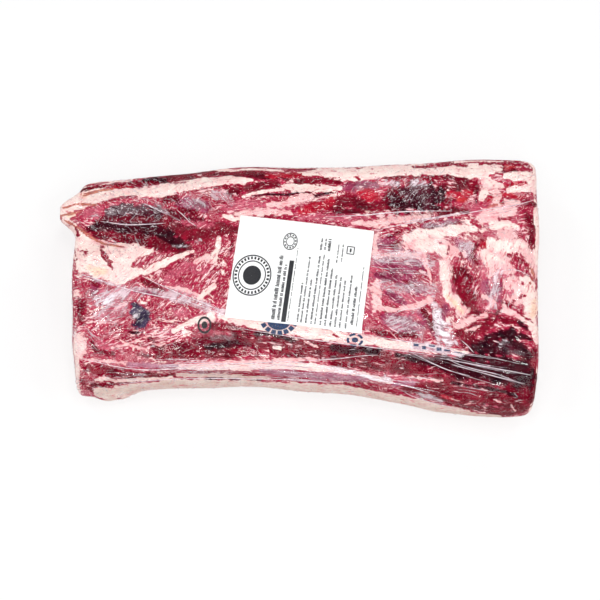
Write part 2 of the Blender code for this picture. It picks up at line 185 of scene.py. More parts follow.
DEEP = {
    "back edge": (81, 191, 2.4, 104, 186, 1.2, 120, 185, 1.6, 150, 182, 3, 178, 179, 3.4, 215, 174, 2.4),
    "back edge far": (215, 174, 2.4, 245, 173, 1.8, 262, 172, 1.2),
    "rib row": (230, 191, 4, 246, 188, 4, 262, 186, 5, 276, 183, 4),
    "rib dark row": (296, 182, 3, 318, 180, 3, 332, 180, 3, 341, 182, 1.5),
    "chine foot": (96, 233, 5, 112, 236, 5, 130, 238, 6, 148, 240, 6, 164, 245, 6, 176, 250, 3),
    "chine far foot": (160, 216, 6, 170, 223, 6, 186, 234, 7, 204, 237, 7, 222, 228, 6, 234, 230, 4),
    "lobe edge": (166, 199, 4, 174, 198, 4),
    "lobe foot": (178, 210, 3, 196, 213, 3),
    "rib hollow": (330, 205, 6, 346, 202, 6, 360, 204, 6, 380, 205, 6, 396, 208, 3),
    "past the bark": (444, 202, 5, 448, 188, 5, 457, 185, 5, 467, 184, 5, 476, 184, 4),
    "under the bark": (440, 213, 3, 455, 209, 4, 466, 211, 3),
    "under the cream": (385, 178, 2.5, 402, 177, 2, 440, 178, 3, 455, 177, 3, 468, 179, 2.5),
    "far end edge": (528, 203, 3, 535, 205, 2),
    "far end side": (527, 213, 2, 529, 218, 4, 534, 224, 4, 532, 234, 3, 532, 247, 3),
    "far corner": (502, 169, 3, 510, 168, 4, 517, 171, 2),
    "sirloin patch": (388, 237, 0.8, 394, 235, 1.4, 401, 231, 1.4),
    "sirloin bits": (404, 281, 1.4, 412, 285, 2, 418, 288, 1.4),
    "over the seam": (424, 228, 1.2, 444, 227, 1.8, 462, 222, 1.4),
    "far row": (490, 197, 1.4, 497, 195, 2.2, 503, 193, 1.4),
    "beside the label": (228, 230, 1.6, 233, 240, 2.6, 231, 250, 2),
    "band foot": (138, 355, 1.6, 170, 357, 2, 210, 357, 2, 245, 354, 2.2),
    "near rim": (450, 403, 2.6, 466, 406, 3.2, 482, 409, 2.6),
    "sirloin spot": (392, 246, 3, 398, 243, 3),
    "sirloin foot": (372, 331, 2, 386, 334, 3, 402, 335, 2.5, 416, 335, 3),
    "glare edge": (424, 312, 3, 429, 318, 4, 434, 328, 4),
    "seam top": (477, 245, 2, 472, 256, 2, 478, 264, 2),
    "seam far": (482, 240, 1.8, 487, 246, 2.4, 486, 251, 1.6),
    "seam": (454, 271, 5, 462, 272, 6, 458, 281, 6, 467, 283, 7, 462, 291, 5, 469, 297, 7),
    "seam foot": (467, 303, 5, 472, 309, 5, 478, 313, 4),
    "corner": (461, 333, 5, 468, 336, 7, 478, 328, 8, 489, 324, 6, 496, 319, 3),
    "corner cells": (503, 303, 1.6, 508, 305, 1.6, 496, 314, 2, 504, 321, 3, 524, 321, 2),
    "left side": (80, 299, 2.6, 82, 313, 4, 82, 324, 3),
    "side knot": (91, 280, 1.8, 97, 285, 2.4),
    "left low": (92, 343, 3, 97, 352, 4, 112, 354, 2),
    "under the fold": (142, 280, 2.5, 152, 285, 3.5, 163, 290, 1.5),
    "eye foot": (150, 340, 4, 160, 352, 5, 176, 353, 6, 192, 352, 6, 214, 352, 6, 232, 353, 5),
    "front lean": (214, 326, 4, 232, 328, 5, 246, 332, 4, 262, 345, 8, 284, 345, 10, 304, 350, 10),
    "front lean far": (304, 350, 8, 320, 349, 7, 340, 350, 7, 362, 351, 5, 385, 356, 5, 402, 362, 6),
    "front roll": (334, 364, 4, 352, 364, 5, 372, 365, 6, 388, 366, 5, 408, 370, 6, 440, 374, 5),
    "front left": (88, 368, 4, 98, 369, 5, 112, 372, 5, 126, 374, 4, 142, 375, 3, 158, 375, 2),
    "front left corner": (82, 380, 1.6, 86, 387, 2, 92, 390, 1.4),
    "front left streak": (92, 385, 1.8, 106, 385, 2, 120, 382, 2, 142, 379, 1.8, 174, 375, 1.8),
    "near corner": (406, 390, 4, 424, 388, 6, 442, 392, 8, 462, 395, 9, 486, 396, 10, 510, 396, 11),
    "near corner foot": (490, 410, 5, 504, 413, 4, 520, 408, 7, 530, 398, 7),
    "right rim": (533, 352, 4, 534, 372, 4, 534, 392, 5),
}
DARK = {
    "under the crease": (92, 227, 3, 106, 226, 4, 122, 228, 5, 138, 229, 5, 154, 230, 6, 163, 233, 5),
    "chine pit": (164, 233, 5, 172, 238, 6, 180, 245, 5),
    "rib seam": (252, 196, 0.7, 270, 194, 0.9, 286, 195, 1.3, 297, 193, 0.9, 312, 192, 0.7),
    "curl": (312, 201, 0.8, 314, 196, 1.2, 322, 194, 1.4, 336, 192, 1.2),
    "eye foot": (206, 347, 2.4, 222, 346, 3.4, 238, 342, 2.4),
    "eye foot far": (256, 334, 3, 272, 334, 3, 292, 340, 2.4),
    "front lean": (332, 346, 4, 346, 351, 4, 362, 349, 4, 378, 351, 4),
    "fan": (396, 355, 2, 410, 357, 3, 426, 361, 4, 442, 364, 6, 456, 366, 10, 470, 368, 12),
    "fan far": (470, 368, 12, 486, 371, 12, 502, 374, 13, 516, 376, 12, 528, 377, 9),
    "fan top": (462, 356, 3, 482, 358, 4, 504, 360, 5, 526, 365, 5),
    "near corner": (452, 383, 1.4, 476, 386, 1.8, 498, 390, 1.8, 516, 396, 2),
    "corner": (488, 339, 5, 499, 334, 6, 511, 334, 6, 519, 338, 3),
    "corner low": (474, 347, 5, 490, 347, 8, 506, 346, 9, 518, 349, 8, 526, 356, 5),
    "corner teeth": (520, 323, 2.5, 528, 329, 1.5),
    "corner teeth low": (520, 335, 3, 532, 340, 1.8),
    "black bit": (476, 199, 1, 476.5, 202, 1.2),
    "spot foot": (130, 332, 0.8, 136, 333, 1.2, 142, 332, 0.8),
    "front line": (206, 379, 1.2, 226, 378, 1.6, 244, 379, 1.2, 262, 380, 0.8),
    "back edge": (142, 180, 1, 160, 179, 3, 166, 181, 2),
    "rib": (392, 200, 6, 404, 205, 6, 418, 204, 7, 434, 202, 7, 442, 192, 5),
}
# Dark meat with a painted bluish reflection of the film over it.
DARK_BLUE_SHEEN = {
    "spot": (134, 306, 4, 138, 313, 6, 140, 321, 6, 134, 326, 4),
    "spot far": (147, 313, 3, 146, 322, 4),
}
BARK = {
    "chine": (108, 214, 4, 118, 211, 6, 130, 209, 7, 142, 210, 7, 152, 212, 6, 160, 215, 4),
    "rib": (402, 192, 3, 410, 196, 6, 420, 194, 8, 430, 192, 7, 428, 204, 6),
    "corner": (504, 348, 5, 514, 351, 5),
}
BRIGHT = {
    "back edge": (107, 188, 2, 118, 187, 2.5, 130, 187, 2),
    "rib row": (266, 176, 2, 280, 176, 2.5, 292, 175, 2.5, 304, 175, 2),
    "rib": (362, 193, 4, 370, 195, 6, 377, 198, 5),
    "past the bark": (448, 194, 3, 458, 195, 4, 468, 194, 4),
    "finger": (302, 212, 4, 312, 208, 5, 324, 206, 5, 332, 199, 4),
    "far end": (505, 186, 2, 513, 184, 1.5, 524, 183, 2.5),
    "far corner": (506, 168, 2, 514, 167, 2),
    "far rim": (488, 200, 2.5, 496, 196, 2.5, 508, 194, 2, 518, 197, 2.5, 524, 196, 1.5),
    "near": (442, 396, 1.6, 452, 399, 1.8),
    "seam": (484, 244, 4, 488, 248, 2),
}
EMBER = {
    "past the bark": (458, 201, 2, 467, 199, 2.4),
    "corner": (506, 167, 1.2, 514, 167, 1.2),
}
PALE = {
    "rib pale": (268, 205, 3, 282, 205, 4, 296, 200, 6, 308, 197, 5),
    "rib pale low": (236, 214, 3, 256, 212, 4, 276, 212, 4, 290, 213, 3),
    "chine rim": (90, 239, 2, 106, 244, 3, 124, 248, 2.5, 140, 250, 2),
    "over the label": (352, 223, 2, 368, 223, 4, 384, 222, 6, 400, 221, 4, 416, 218, 3, 430, 216, 2),
    "far end": (486, 212, 6, 500, 213, 7, 514, 211, 5, 480, 220, 5),
    "far end row": (506, 203, 3, 520, 202, 2),
    "far mottle": (484, 182, 6, 494, 190, 5, 512, 238, 6, 500, 232, 5, 530, 256, 6),
    "sirloin": (410, 244, 9, 428, 246, 10, 440, 246, 10, 450, 250, 8, 462, 252, 5),
    "sirloin row": (376, 284, 5, 376, 296, 6, 376, 308, 5, 396, 310, 2.4, 412, 307, 3, 430, 300, 4.4),
    "sirloin streaks": (376, 236, 3, 374, 256, 3, 408, 254, 4, 424, 256, 4, 430, 276, 1.2, 431, 284, 1.2),
    "eye low": (170, 287, 1.8, 184, 290, 2.4, 197, 294, 2),
    "left low": (120, 340, 1.4, 132, 346, 1.2, 146, 349, 1.2),
    "strip": (446, 258, 6, 446, 270, 6, 445, 283, 5, 448, 293, 6, 454, 302, 6, 462, 312, 6),
    "right fat": (486, 258, 9, 494, 250, 9, 504, 258, 10, 494, 268, 9, 510, 270, 7),
    "right fat low": (512, 282, 10, 522, 290, 10, 514, 299, 8, 506, 310, 5),
    "right fat far": (520, 243, 6, 534, 262, 6, 536, 276, 5),
    "lower left": (83, 333, 4, 84, 346, 4, 82, 356, 3),
    "streak": (112, 348, 1, 122, 346, 1.2, 136, 340, 1.4, 150, 336, 1.4),
    "eye top": (196, 262, 3, 206, 256, 3, 214, 262, 3),
    "band low": (200, 363, 1.4, 244, 362, 1.8, 268, 361, 2.2, 292, 360, 2.2, 316, 360, 1.6),
    "right lobe": (508, 309, 3, 514, 313, 4, 522, 318, 3),
    "right lilac": (484, 296, 3, 494, 302, 3, 488, 308, 2),
    "corner": (463, 323, 4, 472, 318, 3, 457, 327, 3, 486, 315, 3),
    "roll": (412, 377, 0.8, 426, 379, 1.4, 442, 381, 1.2),
    "corner curl": (466, 331, 1.6, 473, 329, 2, 481, 325, 1.6),
    "front fleck": (304, 341, 1, 311, 344, 1.5, 318, 347, 1),
    "front fleck left": (150, 343, 1, 158, 345, 1.6, 166, 344, 1),
    "near fleck": (481, 388, 0.9, 487, 391, 1.1),
    "near fleck foot": (464, 405, 0.7, 471, 403, 1.0),
    "near fleck side": (493, 399, 0.7, 500, 402, 1.2),
    "near fleck far": (511, 405, 0.7, 515, 411, 0.9),
    "near fleck left": (452, 399, 0.8, 460, 401, 0.9),
    "front fold": (86, 359.5, 1, 110, 361.5, 1.8, 134, 364, 2, 160, 365.5, 2.4, 200, 366, 3),
    "front fold far": (200, 366, 3, 230, 366.5, 3.6, 250, 367, 3),
    "left": (76, 292, 2.5, 80, 296, 2),
}
FAT = {
    "ear": (60, 212, 4, 68, 207, 7, 84, 200, 8, 98, 196, 7),
    "ear low": (66, 216, 4, 64, 221, 3),
    "strip": (98, 196, 6, 112, 194, 4, 128, 193, 4.5, 144, 192.5, 5, 160, 191.5, 6.5, 174, 188, 5),
    "strip far": (174, 188, 5, 192, 186, 5, 214, 182, 5.5, 230, 180, 4, 252, 180, 1.8),
    "cream": (304, 174, 2, 318, 172, 3.5, 336, 173, 6, 356, 174, 6.5, 376, 173, 6, 396, 171, 4.5),
    "cream far": (396, 171, 4.5, 424, 172, 3, 450, 171, 3.5, 470, 173, 4.5, 486, 171, 5, 498, 169, 4),
    "rib seam": (242, 197, 1, 255, 193, 1.6, 268, 190.5, 1.6, 283, 189.5, 1.4),
    "rib band": (284, 186, 2.4, 292, 188, 4, 308, 188, 3.6, 322, 189, 3, 340, 188, 2.4),
    "chine end": (74, 228, 4, 79, 238, 7, 86, 248, 11, 98, 262, 14, 115, 262, 14, 129, 256, 9),
    "chine end far": (129, 256, 9, 141, 252, 5, 149, 251, 3),
    "chine end foot": (100, 272, 7, 118, 276, 9, 131, 273, 7, 141, 271, 4),
    "chine end side": (73, 244, 3, 77, 256, 4, 82, 268, 5),
    "eye seam": (144, 273, 3, 156, 266, 3.6, 168, 260.5, 3, 180, 256, 2.4, 193, 251, 1.6),
    "eye fleck": (219, 238, 2, 217, 248, 2.8, 214, 258, 2.4),
    "eye fleck low": (214, 286, 3, 207, 291, 2.6, 199, 298, 2.4),
    "eye foot": (210, 318, 5, 196, 320, 3, 184, 325, 2.6, 174, 331, 2.2),
    "spot": (274, 347.5, 1.6, 280, 348, 1.8),
    "band": (220, 316, 3, 240, 321, 4, 258, 325, 4.5, 280, 329, 5, 300, 331, 6, 322, 334, 6),
    "band far": (322, 334, 6, 342, 337, 6, 358, 339.5, 5, 376, 342, 4.5, 402, 345.5, 4),
    "band end": (402, 345.5, 4, 430, 349, 3.5, 452, 351.5, 2.5, 468, 352.5, 1.2),
    "cream low": (406, 237, 4, 420, 234, 5, 440, 233, 5, 458, 229, 5, 474, 229, 3.5),
    "nub": (481, 199, 2.5, 484, 194, 4),
    "far fat": (486, 178, 3, 494, 185, 4, 502, 186, 3),
    "far fat row": (508, 190, 2.8, 524, 189, 3.8, 533, 188, 3.2),
    "far fat top": (506, 177, 3.4, 518, 176, 4.4, 529, 177, 4.4, 533, 184, 3),
    "far row": (492, 226, 4, 508, 225, 3.5, 518, 227, 2.5),
    "far row low": (492, 244, 6, 506, 246, 7, 520, 246, 4),
    "far row side": (536, 212, 2, 538, 236, 2, 537, 262, 3),
    "sirloin": (420, 244, 5, 436, 246, 6, 444, 252, 4, 430, 240, 5),
    "column": (443, 264, 3.4, 445, 278, 3.4, 446, 292, 3.6, 453, 304, 4),
    "right fat": (488, 262, 4, 484, 252, 3, 502, 262, 3),
    "right rim": (526, 280, 5, 531, 292, 6, 531, 306, 8, 529, 316, 7, 534, 328, 4, 537, 342, 2.4),
    "left low": (77, 336, 2.4, 80, 346, 3, 78, 354, 2.4),
    "front fold": (150, 366, 0.8, 180, 367, 1.4, 200, 367.5, 2.2),
    "front fold far": (200, 368, 3, 235, 367, 3, 262, 366, 3, 292, 366, 3.5, 316, 368, 4, 338, 371, 3),
    "front fold end": (338, 371, 3, 356, 374, 3, 374, 378, 3, 392, 382, 2),
    "front left": (96, 380, 1.4, 104, 378.5, 2, 116, 381, 1.4, 146, 379, 1.2, 172, 377.5, 1.2),
    "lobe": (224, 216, 2, 234, 219, 3, 244, 218, 2),
}
BUTTER = {
    "ear": (69, 215, 2.4, 75, 214, 1.8),
    "ear root": (82, 195, 2, 86, 197, 1.8),
    "chine end": (90, 268, 3, 98, 270, 4, 104, 273, 4),
    "strip": (447, 296, 2, 454, 303, 2.4, 462, 312, 2.4),
    "rim": (534, 302, 3, 533, 316, 3),
}
CAP = {
    "ear": (98, 393, 4, 113, 394, 6, 126, 390, 5),
    "rim": (126, 390, 5, 146, 387, 4.5, 172, 384, 5, 204, 384.5, 4.5, 238, 385, 4.5, 272, 387, 5),
    "rim far": (272, 387, 5, 302, 389, 6, 340, 391, 6.5, 380, 397, 6, 402, 401, 5.5, 432, 407, 5),
    "rim end": (432, 407, 5, 462, 413, 4, 480, 416, 2.5, 500, 417, 1.5),
    "roll": (178, 375, 1.6, 194, 375, 2.4, 214, 374.5, 3, 244, 376, 2.8, 270, 378, 2.2),
}
RUST = {
    "ear": (63, 208, 0.8, 78, 204, 1, 94, 205, 0.9, 112, 201, 0.8),
    "ear foot": (64, 220, 0.9, 78, 228, 1, 90, 237, 1.1, 104, 244, 0.9, 124, 247, 0.8),
    "ear root": (84, 195, 1.6, 98, 191, 1.2, 112, 189.5, 0.8),
    "ear tip": (60, 216, 1, 70, 214, 1.2, 82, 211, 0.8),
    "far rim": (488, 207, 0.8, 502, 203, 0.8),
    "right": (531, 268, 0.8, 534, 276, 0.8, 530, 284, 0.7),
}
# Lilac patches: pink flesh with the film's lilac sheen painted over it.
MAUVE_SHEEN = {
    "front roll": (262, 372, 2.5, 292, 374, 3.5, 316, 376, 4, 344, 378, 4, 366, 379, 3),
    "front roll far": (394, 384, 2, 412, 383, 2.5),
    "band end": (414, 347, 1.6, 430, 349, 2, 450, 351.5, 1.8),
    "front fold": (130, 364.5, 2, 154, 366, 2, 178, 366, 1.6),
}
VEIN = {
    "chine end": (101, 250, 1.6, 105, 257, 3, 109, 263, 3, 112, 268, 1.5),
    "chine end left": (84, 252, 2, 83, 257, 1.5),
    "ear": (78, 235, 1.8, 76, 228, 1.2),
    "left line": (70, 230, 0.8, 73, 245, 0.8, 77, 260, 0.9),
    "strip": (98, 204, 1, 112, 200, 1.2, 124, 197, 1.5, 136, 196, 1.5),
    "strip far": (182, 193, 1, 204, 189, 1.2, 226, 185, 1),
    "sirloin": (449, 246, 0.7, 447, 254, 0.7),
    "sirloin near": (461, 248, 1.4, 461, 258, 1.2),
    "right fat": (508, 255, 1.4, 515, 257, 2.4, 523, 261, 2.2, 528, 268, 1.4),
    "right fat low": (507, 302, 1.6, 511, 307, 1.8, 514, 301, 1.2),
    "rim": (522, 283, 1, 526, 291, 1.2, 520, 298, 1),
    "rim low": (518, 312, 1.2, 526, 318, 1.6, 532, 322, 1),
    "cap line": (270, 377, 1, 292, 379, 1.2, 308, 380, 1),
    "cap line far": (344, 383, 1, 360, 386, 1.5, 376, 389, 2, 394, 393, 2),
    "roll line": (190, 373, 1, 212, 372, 1.4, 240, 374, 1, 262, 376, 1),
    "band": (334, 335, 1.2, 338, 337, 1),
    "far end": (500, 219, 2, 510, 218, 1.8),
    "cream edge": (412, 167, 1.2, 428, 166.5, 1.5, 442, 165, 2, 453, 163, 1.5, 466, 166, 1.2),
    "far edge": (480, 164, 1.2, 500, 163, 1.5, 516, 163, 1.5, 529, 167, 1.5),
    "nub": (356, 177, 1.2, 359, 179, 1.2),
}
PATCHES = (
    ("wine", WINE), ("rose", ROSE), ("plum", PLUM), ("deep", DEEP), ("dark", DARK),
    ("dark_blue_sheen", DARK_BLUE_SHEEN), ("bark", BARK), ("bright", BRIGHT), ("ember", EMBER), ("pale", PALE),
    ("fat", FAT), ("butter", BUTTER), ("cap", CAP), ("rust", RUST), ("mauve_sheen", MAUVE_SHEEN),
    ("vein", VEIN),
)

# A tissue's two tones (sRGB), how ragged its patches are, how lean it is, its height in mm, and for a fat
# tissue how fully it covers the lean.
TISSUES = {
    "rose": ((216, 112, 132), (186, 58, 88), 0.85, 0.8, 0.0, 0.0),
    "wine": ((132, 14, 40), (86, 8, 28), 0.85, 0.28, -0.1, 0.0),
    "deep": ((152, 18, 46), (100, 10, 30), 0.80, 0.42, -0.1, 0.0),
    "plum": ((186, 84, 118), (128, 34, 66), 0.85, 0.6, -0.1, 0.0),
    "dark": ((78, 10, 28), (32, 4, 16), 0.85, 0.08, -0.2, 0.0),
    # Dark meat under a painted bluish film reflection.
    "dark_blue_sheen": ((96, 84, 116), (36, 28, 50), 0.90, 0.05, -0.2, 0.0),
    "bark": ((98, 30, 48), (44, 10, 24), 0.95, 0.10, -0.2, 0.0),
    "bright": ((206, 38, 62), (172, 20, 44), 0.80, 0.5, 0.0, 0.0),
    "ember": ((222, 78, 78), (194, 38, 50), 0.80, 0.3, 0.0, 0.0),
    "rust": ((224, 158, 134), (198, 110, 96), 0.70, 0.2, 0.1, 0.0),
    "pale": ((247, 214, 211), (238, 184, 186), 0.85, 0.6, 0.2, 0.66),
    "fat": ((252, 236, 229), (247, 219, 212), 0.60, 0.2, 0.4, 1.0),
    "butter": ((247, 222, 200), (242, 206, 182), 0.90, 0.1, 0.3, 1.0),
    "cap": ((228, 212, 203), (214, 192, 180), 0.45, 0.1, 0.3, 1.0),
    # Pink flesh under painted lilac film sheen.
    "mauve_sheen": ((216, 160, 176), (176, 100, 128), 0.80, 0.5, 0.0, 0.0),
    "vein": ((172, 34, 62), (140, 20, 48), 0.90, 0.7, -0.1, 0.0),
}
LEAN_TONES = ((194, 48, 82), (160, 26, 58))
PATCH_SOFTNESS, FAT_SOFTNESS = 0.16, 0.42
PATCH_REACH = 2.2  # half widths round a patch's path within which it is worked out

# Muscle grain: centre in the chart, reach in pixels, angle of the fibres in degrees.
GRAINS = (
    ((185, 270), 60, 50.0),
    ((110, 345), 60, 25.0),
    ((170, 340), 45, 20.0),
    ((120, 225), 45, -8.0),
    ((260, 195), 60, 8.0),
    ((350, 200), 60, 4.0),
    ((430, 200), 40, -30.0),
    ((400, 290), 45, -35.0),
    ((465, 285), 30, 60.0),
    ((505, 270), 40, 75.0),
    ((500, 200), 40, 8.0),
    ((500, 335), 45, -15.0),
    ((470, 395), 70, 10.0),
    ((300, 348), 70, -6.0),
    ((120, 374), 45, -4.0),
)

# Milky patches of the film, partly real haze and partly painted sheen, glare and glints: path as of the
# beef's patches, milkiness.
MILK_AND_SHEEN = (
    ((150, 290, 2, 168, 295, 4, 186, 300, 5, 204, 306, 5, 222, 313, 4), 0.48),
    ((84, 276, 1.5, 106, 283, 2, 130, 289, 3, 150, 290, 2), 0.35),
    ((100, 300, 9, 112, 297, 10, 126, 293, 7), 0.55),
    ((104, 303, 4, 112, 299, 5), 0.85),
    ((98, 315, 5, 112, 318, 4, 126, 308, 4), 0.26),
    ((136, 316, 2.4, 139, 311, 1.6), 0.50),
    ((112, 212, 5, 130, 208, 6, 146, 208, 5), 0.10),
    ((156, 205, 3, 166, 211, 3), 0.18),
    ((92, 217, 2, 97, 215, 2), 0.50),
    ((190, 203, 5, 202, 205, 4), 0.30),
    ((214, 194, 4, 226, 198, 5, 231, 203, 3), 0.36),
    ((196, 242, 1.2, 200, 240, 2), 0.60),
    ((174, 247, 1.2, 187, 246, 1.2), 0.50),
    ((360, 187, 4, 376, 185, 4), 0.18),
    ((386, 184, 3, 398, 184, 3.6), 0.62),
    ((414, 183, 3.4, 425, 184, 3), 0.55),
    ((426, 226, 3, 440, 226, 3.5, 455, 222, 2.5), 0.35),
    ((376, 258, 5, 398, 256, 6, 420, 258, 6, 432, 264, 4), 0.42),
    ((380, 284, 5, 400, 290, 4, 420, 286, 5, 432, 290, 5), 0.40),
    ((428, 290, 3, 433, 294, 3), 0.60),
    ((392, 322, 6, 408, 325, 7, 420, 330, 5), 0.40),
    ((462, 247, 4, 470, 246, 4, 468, 256, 3), 0.50),
    ((500, 272, 3, 493, 282, 4, 497, 290, 4, 492, 300, 4, 493, 307, 3), 0.48),
    ((433, 304, 3, 436, 313, 4), 0.85),
    ((437, 313, 4.4, 441, 324, 5.4, 445, 335, 5.8, 449, 345, 4), 0.95),
    ((434, 318, 1.6, 436, 332, 2, 440, 344, 2), 0.65),
    ((444, 322, 1.5, 451, 332, 1.8, 457, 344, 1.6), 0.55),
    ((500, 344, 1.8, 506, 341, 2), 0.45),
    ((510, 352, 3, 520, 354, 2), 0.10),
    ((404, 352, 2, 420, 355, 2, 440, 359, 2), 0.14),
    ((212, 338, 2.4, 232, 337, 2.4), 0.16),
    ((168, 290, 3, 184, 294, 4, 200, 300, 4), 0.25),
    ((160, 366, 1.5, 200, 367, 2, 235, 367, 2, 262, 367, 2, 292, 367, 2), 0.42),
    ((322, 368, 2, 348, 371, 2.4, 370, 376, 2.4, 390, 380, 2.2), 0.95),
    ((418, 394, 1.8, 430, 397, 2, 442, 401, 1.6), 0.55),
    ((414, 346, 4, 430, 348, 4.6, 446, 351, 3.4, 462, 355, 2), 0.62),
    ((76, 330, 3, 78, 350, 4), 0.22),
)
# How the film is pulled: centre in the chart, reach in pixels, angle of the folds in degrees, crinkle.
PULLS = (
    ((108, 303), 42, 42.0, 1.0),
    ((132, 212), 40, -22.0, 1.05),
    ((198, 200), 26, -48.0, 0.75),
    ((402, 262), 42, 1.0, 1.0),
    ((420, 197), 34, 40.0, 1.10),
    ((470, 370), 75, -17.0, 0.24),
    ((92, 330), 30, -38.0, 0.8),
    ((500, 200), 45, 10.0, 0.45),
    ((250, 378), 140, -1.0, 0.6),
    ((498, 285), 38, 72.0, 0.7),
    ((190, 275), 50, 50.0, 0.30),
    ((500, 402), 40, -14.0, 0.34),
    ((400, 320), 45, 18.0, 0.8),
    ((300, 215), 60, 3.0, 0.35),
    ((120, 374), 50, -8.0, 0.7),
    ((230, 345), 60, -4.0, 0.32),
)

# Long folds of the film: column and row point by point, half width and height in mm.
CREASES = (
    ((74, 272, 96, 279, 127, 289, 158, 296, 186, 301, 205, 308, 224, 315), 0.45, 0.5),
    ((142, 276, 152, 281, 165, 287, 180, 294, 201, 302, 223, 312), 0.5, 0.6),
    ((100, 221, 112, 223, 125, 224.5, 150, 224, 166, 223), 0.45, 0.5),
    ((326, 217, 345, 216, 364, 215, 398, 212, 430, 211, 452, 211), 0.52, 0.45),
    ((376, 230, 396, 226, 415, 222, 440, 217.5, 467, 213, 495, 208, 520, 204), 0.40, 0.45),
    ((400, 222, 430, 218, 470, 211), 0.45, 0.4),
    ((177, 210, 183, 215, 190, 222, 196, 226), 0.38, 0.4),
    ((144, 203, 152, 207, 160, 211, 167, 213), 0.38, 0.4),
    ((363, 334, 385, 338, 410, 342, 436, 346, 466, 350), 0.36, 0.4),
    ((232, 327, 262, 332, 300, 338, 345, 344, 385, 349, 425, 354, 458, 358), 0.34, 0.4),
    ((298, 361, 320, 360, 345, 358, 360, 356, 378, 355), 0.36, 0.4),
    ((82, 359, 96, 362, 118, 367, 150, 370, 175, 369, 200, 369), 0.38, 0.4),
    ((160, 365, 200, 364.5, 245, 363.5, 290, 362, 325, 366, 345, 369), 0.38, 0.4),
    ((335, 370, 360, 375, 384, 381, 400, 384), 0.5, 0.6),
    ((383, 383, 398, 389, 412, 396, 430, 402, 450, 407, 466, 411), 0.38, 0.4),
    ((120, 384, 160, 380, 200, 378.5, 250, 379, 300, 380, 340, 383), 0.45, 0.35),
    ((480, 214, 500, 209, 524, 203, 537, 199), 0.34, 0.4),
    ((392, 315, 403, 310, 418, 308, 430, 302), 0.36, 0.4),
    ((490, 276, 502, 271, 516, 270, 530, 276), 0.34, 0.4),
    ((461, 340, 468, 346, 474, 353), 0.38, 0.4),
    ((414, 354, 430, 362, 448, 370, 470, 376), 0.36, 0.4),
    ((446, 358, 458, 364, 474, 369, 496, 374, 522, 384), 0.36, 0.4),
)
# Sheaves of folds: start and end of the first fold, start and end of the last, how many, half width, height,
# milkiness (which paints the folds' white sheen).
SHEAVES = (
    ((402, 350), (530, 360), (404, 353), (531, 398), 4, 0.28, 0.5, 1.60),
    ((436, 350), (534, 366), (430, 357), (526, 384), 4, 0.22, 0.45, 0.80),
    ((372, 244), (404, 246), (368, 272), (436, 276), 14, 0.26, 0.35, 0.40),
    ((84, 300), (112, 291), (92, 322), (130, 314), 11, 0.30, 0.4, 0.45),
    ((110, 222), (119, 204), (150, 224), (166, 214), 5, 0.18, 0.35, 0.40),
    ((180, 205), (192, 193), (196, 212), (210, 196), 4, 0.20, 0.35, 0.40),
    ((84, 326), (104, 343), (80, 334), (96, 352), 5, 0.26, 0.35, 0.45),
    ((404, 206), (418, 184), (430, 211), (441, 188), 6, 0.18, 0.35, 0.40),
    ((110, 370), (160, 376), (112, 377), (150, 380), 5, 0.26, 0.35, 0.30),
    ((458, 386), (498, 393), (456, 392), (490, 399), 3, 0.26, 0.4, 0.45),
    ((150, 360), (232, 362), (160, 372), (240, 378), 6, 0.26, 0.4, 0.35),
    ((250, 362), (350, 370), (250, 378), (360, 384), 9, 0.28, 0.4, 0.40),
    ((390, 376), (446, 372), (384, 384), (440, 404), 6, 0.28, 0.4, 0.45),
    ((486, 206), (532, 196), (480, 216), (534, 206), 4, 0.24, 0.35, 0.35),
    ((150, 205), (176, 216), (140, 202), (190, 226), 4, 0.22, 0.35, 0.45),
)
SHEAF_SEED = 5
SHEAF_JITTER = 2.0  # pixels
SHEAF_SIZES, SHEAF_CUT = (0.5, 1.9), 0.45  # shares of the given size; how much of a fold its ends may lose
FOLD_STEP = 1.6  # pixels between a fold's points

# Short fine wrinkles, spread over the crinkled film.
WRINKLE_SEED = 11
WRINKLE_COUNT = 1000
WRINKLE_SPREAD = 30.0  # degrees
WRINKLE_LENGTH = (1.6, 6.5)  # mm
WRINKLE_HALF_WIDTH = (0.13, 0.28)
WRINKLE_HEIGHT = 0.25
WRINKLE_STEPS = 6

# The label's print, in mm from its centre: along its length, across it.
BADGE_CENTRE, BADGE_RADII = (-43.6, -7.6), (17.8, 21.0)
BADGE_RINGS = ((1.00, 0.94), (0.72, 0.665))  # outer and inner edge, as shares of the radii
BADGE_DASHES, BADGE_DASH_BAND = 30, (0.91, 0.78)
BADGE_CORE = 0.47
SEAL_CENTRE, SEAL_RADII = (-13.1, 30.9), (6.7, 8.9)
SEAL_RINGS = ((1.00, 0.89), (0.58, 0.48))
SEAL_DASHES, SEAL_DASH_BAND = 12, (0.83, 0.66)
BANNER = (-9.0, 4.2, -50.5, 11.3)  # place along, width, and its two ends across
RING_STEPS, CORE_STEPS, DASH_STEPS, BAR_STEPS = 64, 40, 4, 16
DASH_LENGTH = 3.4  # angle of a ring's dash times the number of dashes
# Rows of dashes: place along, height of the dashes, first and last place across.
PRINT_ROWS = (
    (-19.4, 4.0, -49, 15.5), (-14.2, 2.9, -49, 6), (-5.2, 0.8, -49, 24), (3.4, 1.7, -49, -11),
    (6.8, 1.7, -49, 17), (11.0, 1.9, -49, -6), (15.8, 1.9, -49, 18), (19.6, 1.3, -49, 20),
    (24.2, 2.1, -49, 17), (28.6, 2.0, -49, 8), (31.8, 1.3, 14, 33), (33.4, 1.9, -49, 2),
    (36.0, 1.3, 16, 33), (37.7, 1.9, -49, 1), (42.0, 1.8, -49, -3), (47.3, 1.8, -49, 3),
    (52.6, 2.6, -45, -8), (57.2, 1.0, -46, 13), (15.8, 2.0, 25, 37), (19.6, 1.5, 26, 37), (23.2, 2.8, 25, 37),
)
PRINT_SEED = 3
TICK, TICK_GAP, WORD_GAP = 0.95, 0.36, 1.2
BLOCK_CENTRE, BLOCK_SIZE = (43.3, 28.9), (6.4, 7.6)
BLOCK_LINE, BLOCK_BAR = 0.9, 1.6
INK_LIFT, INK_THICKNESS = 0.00002, 0.00012

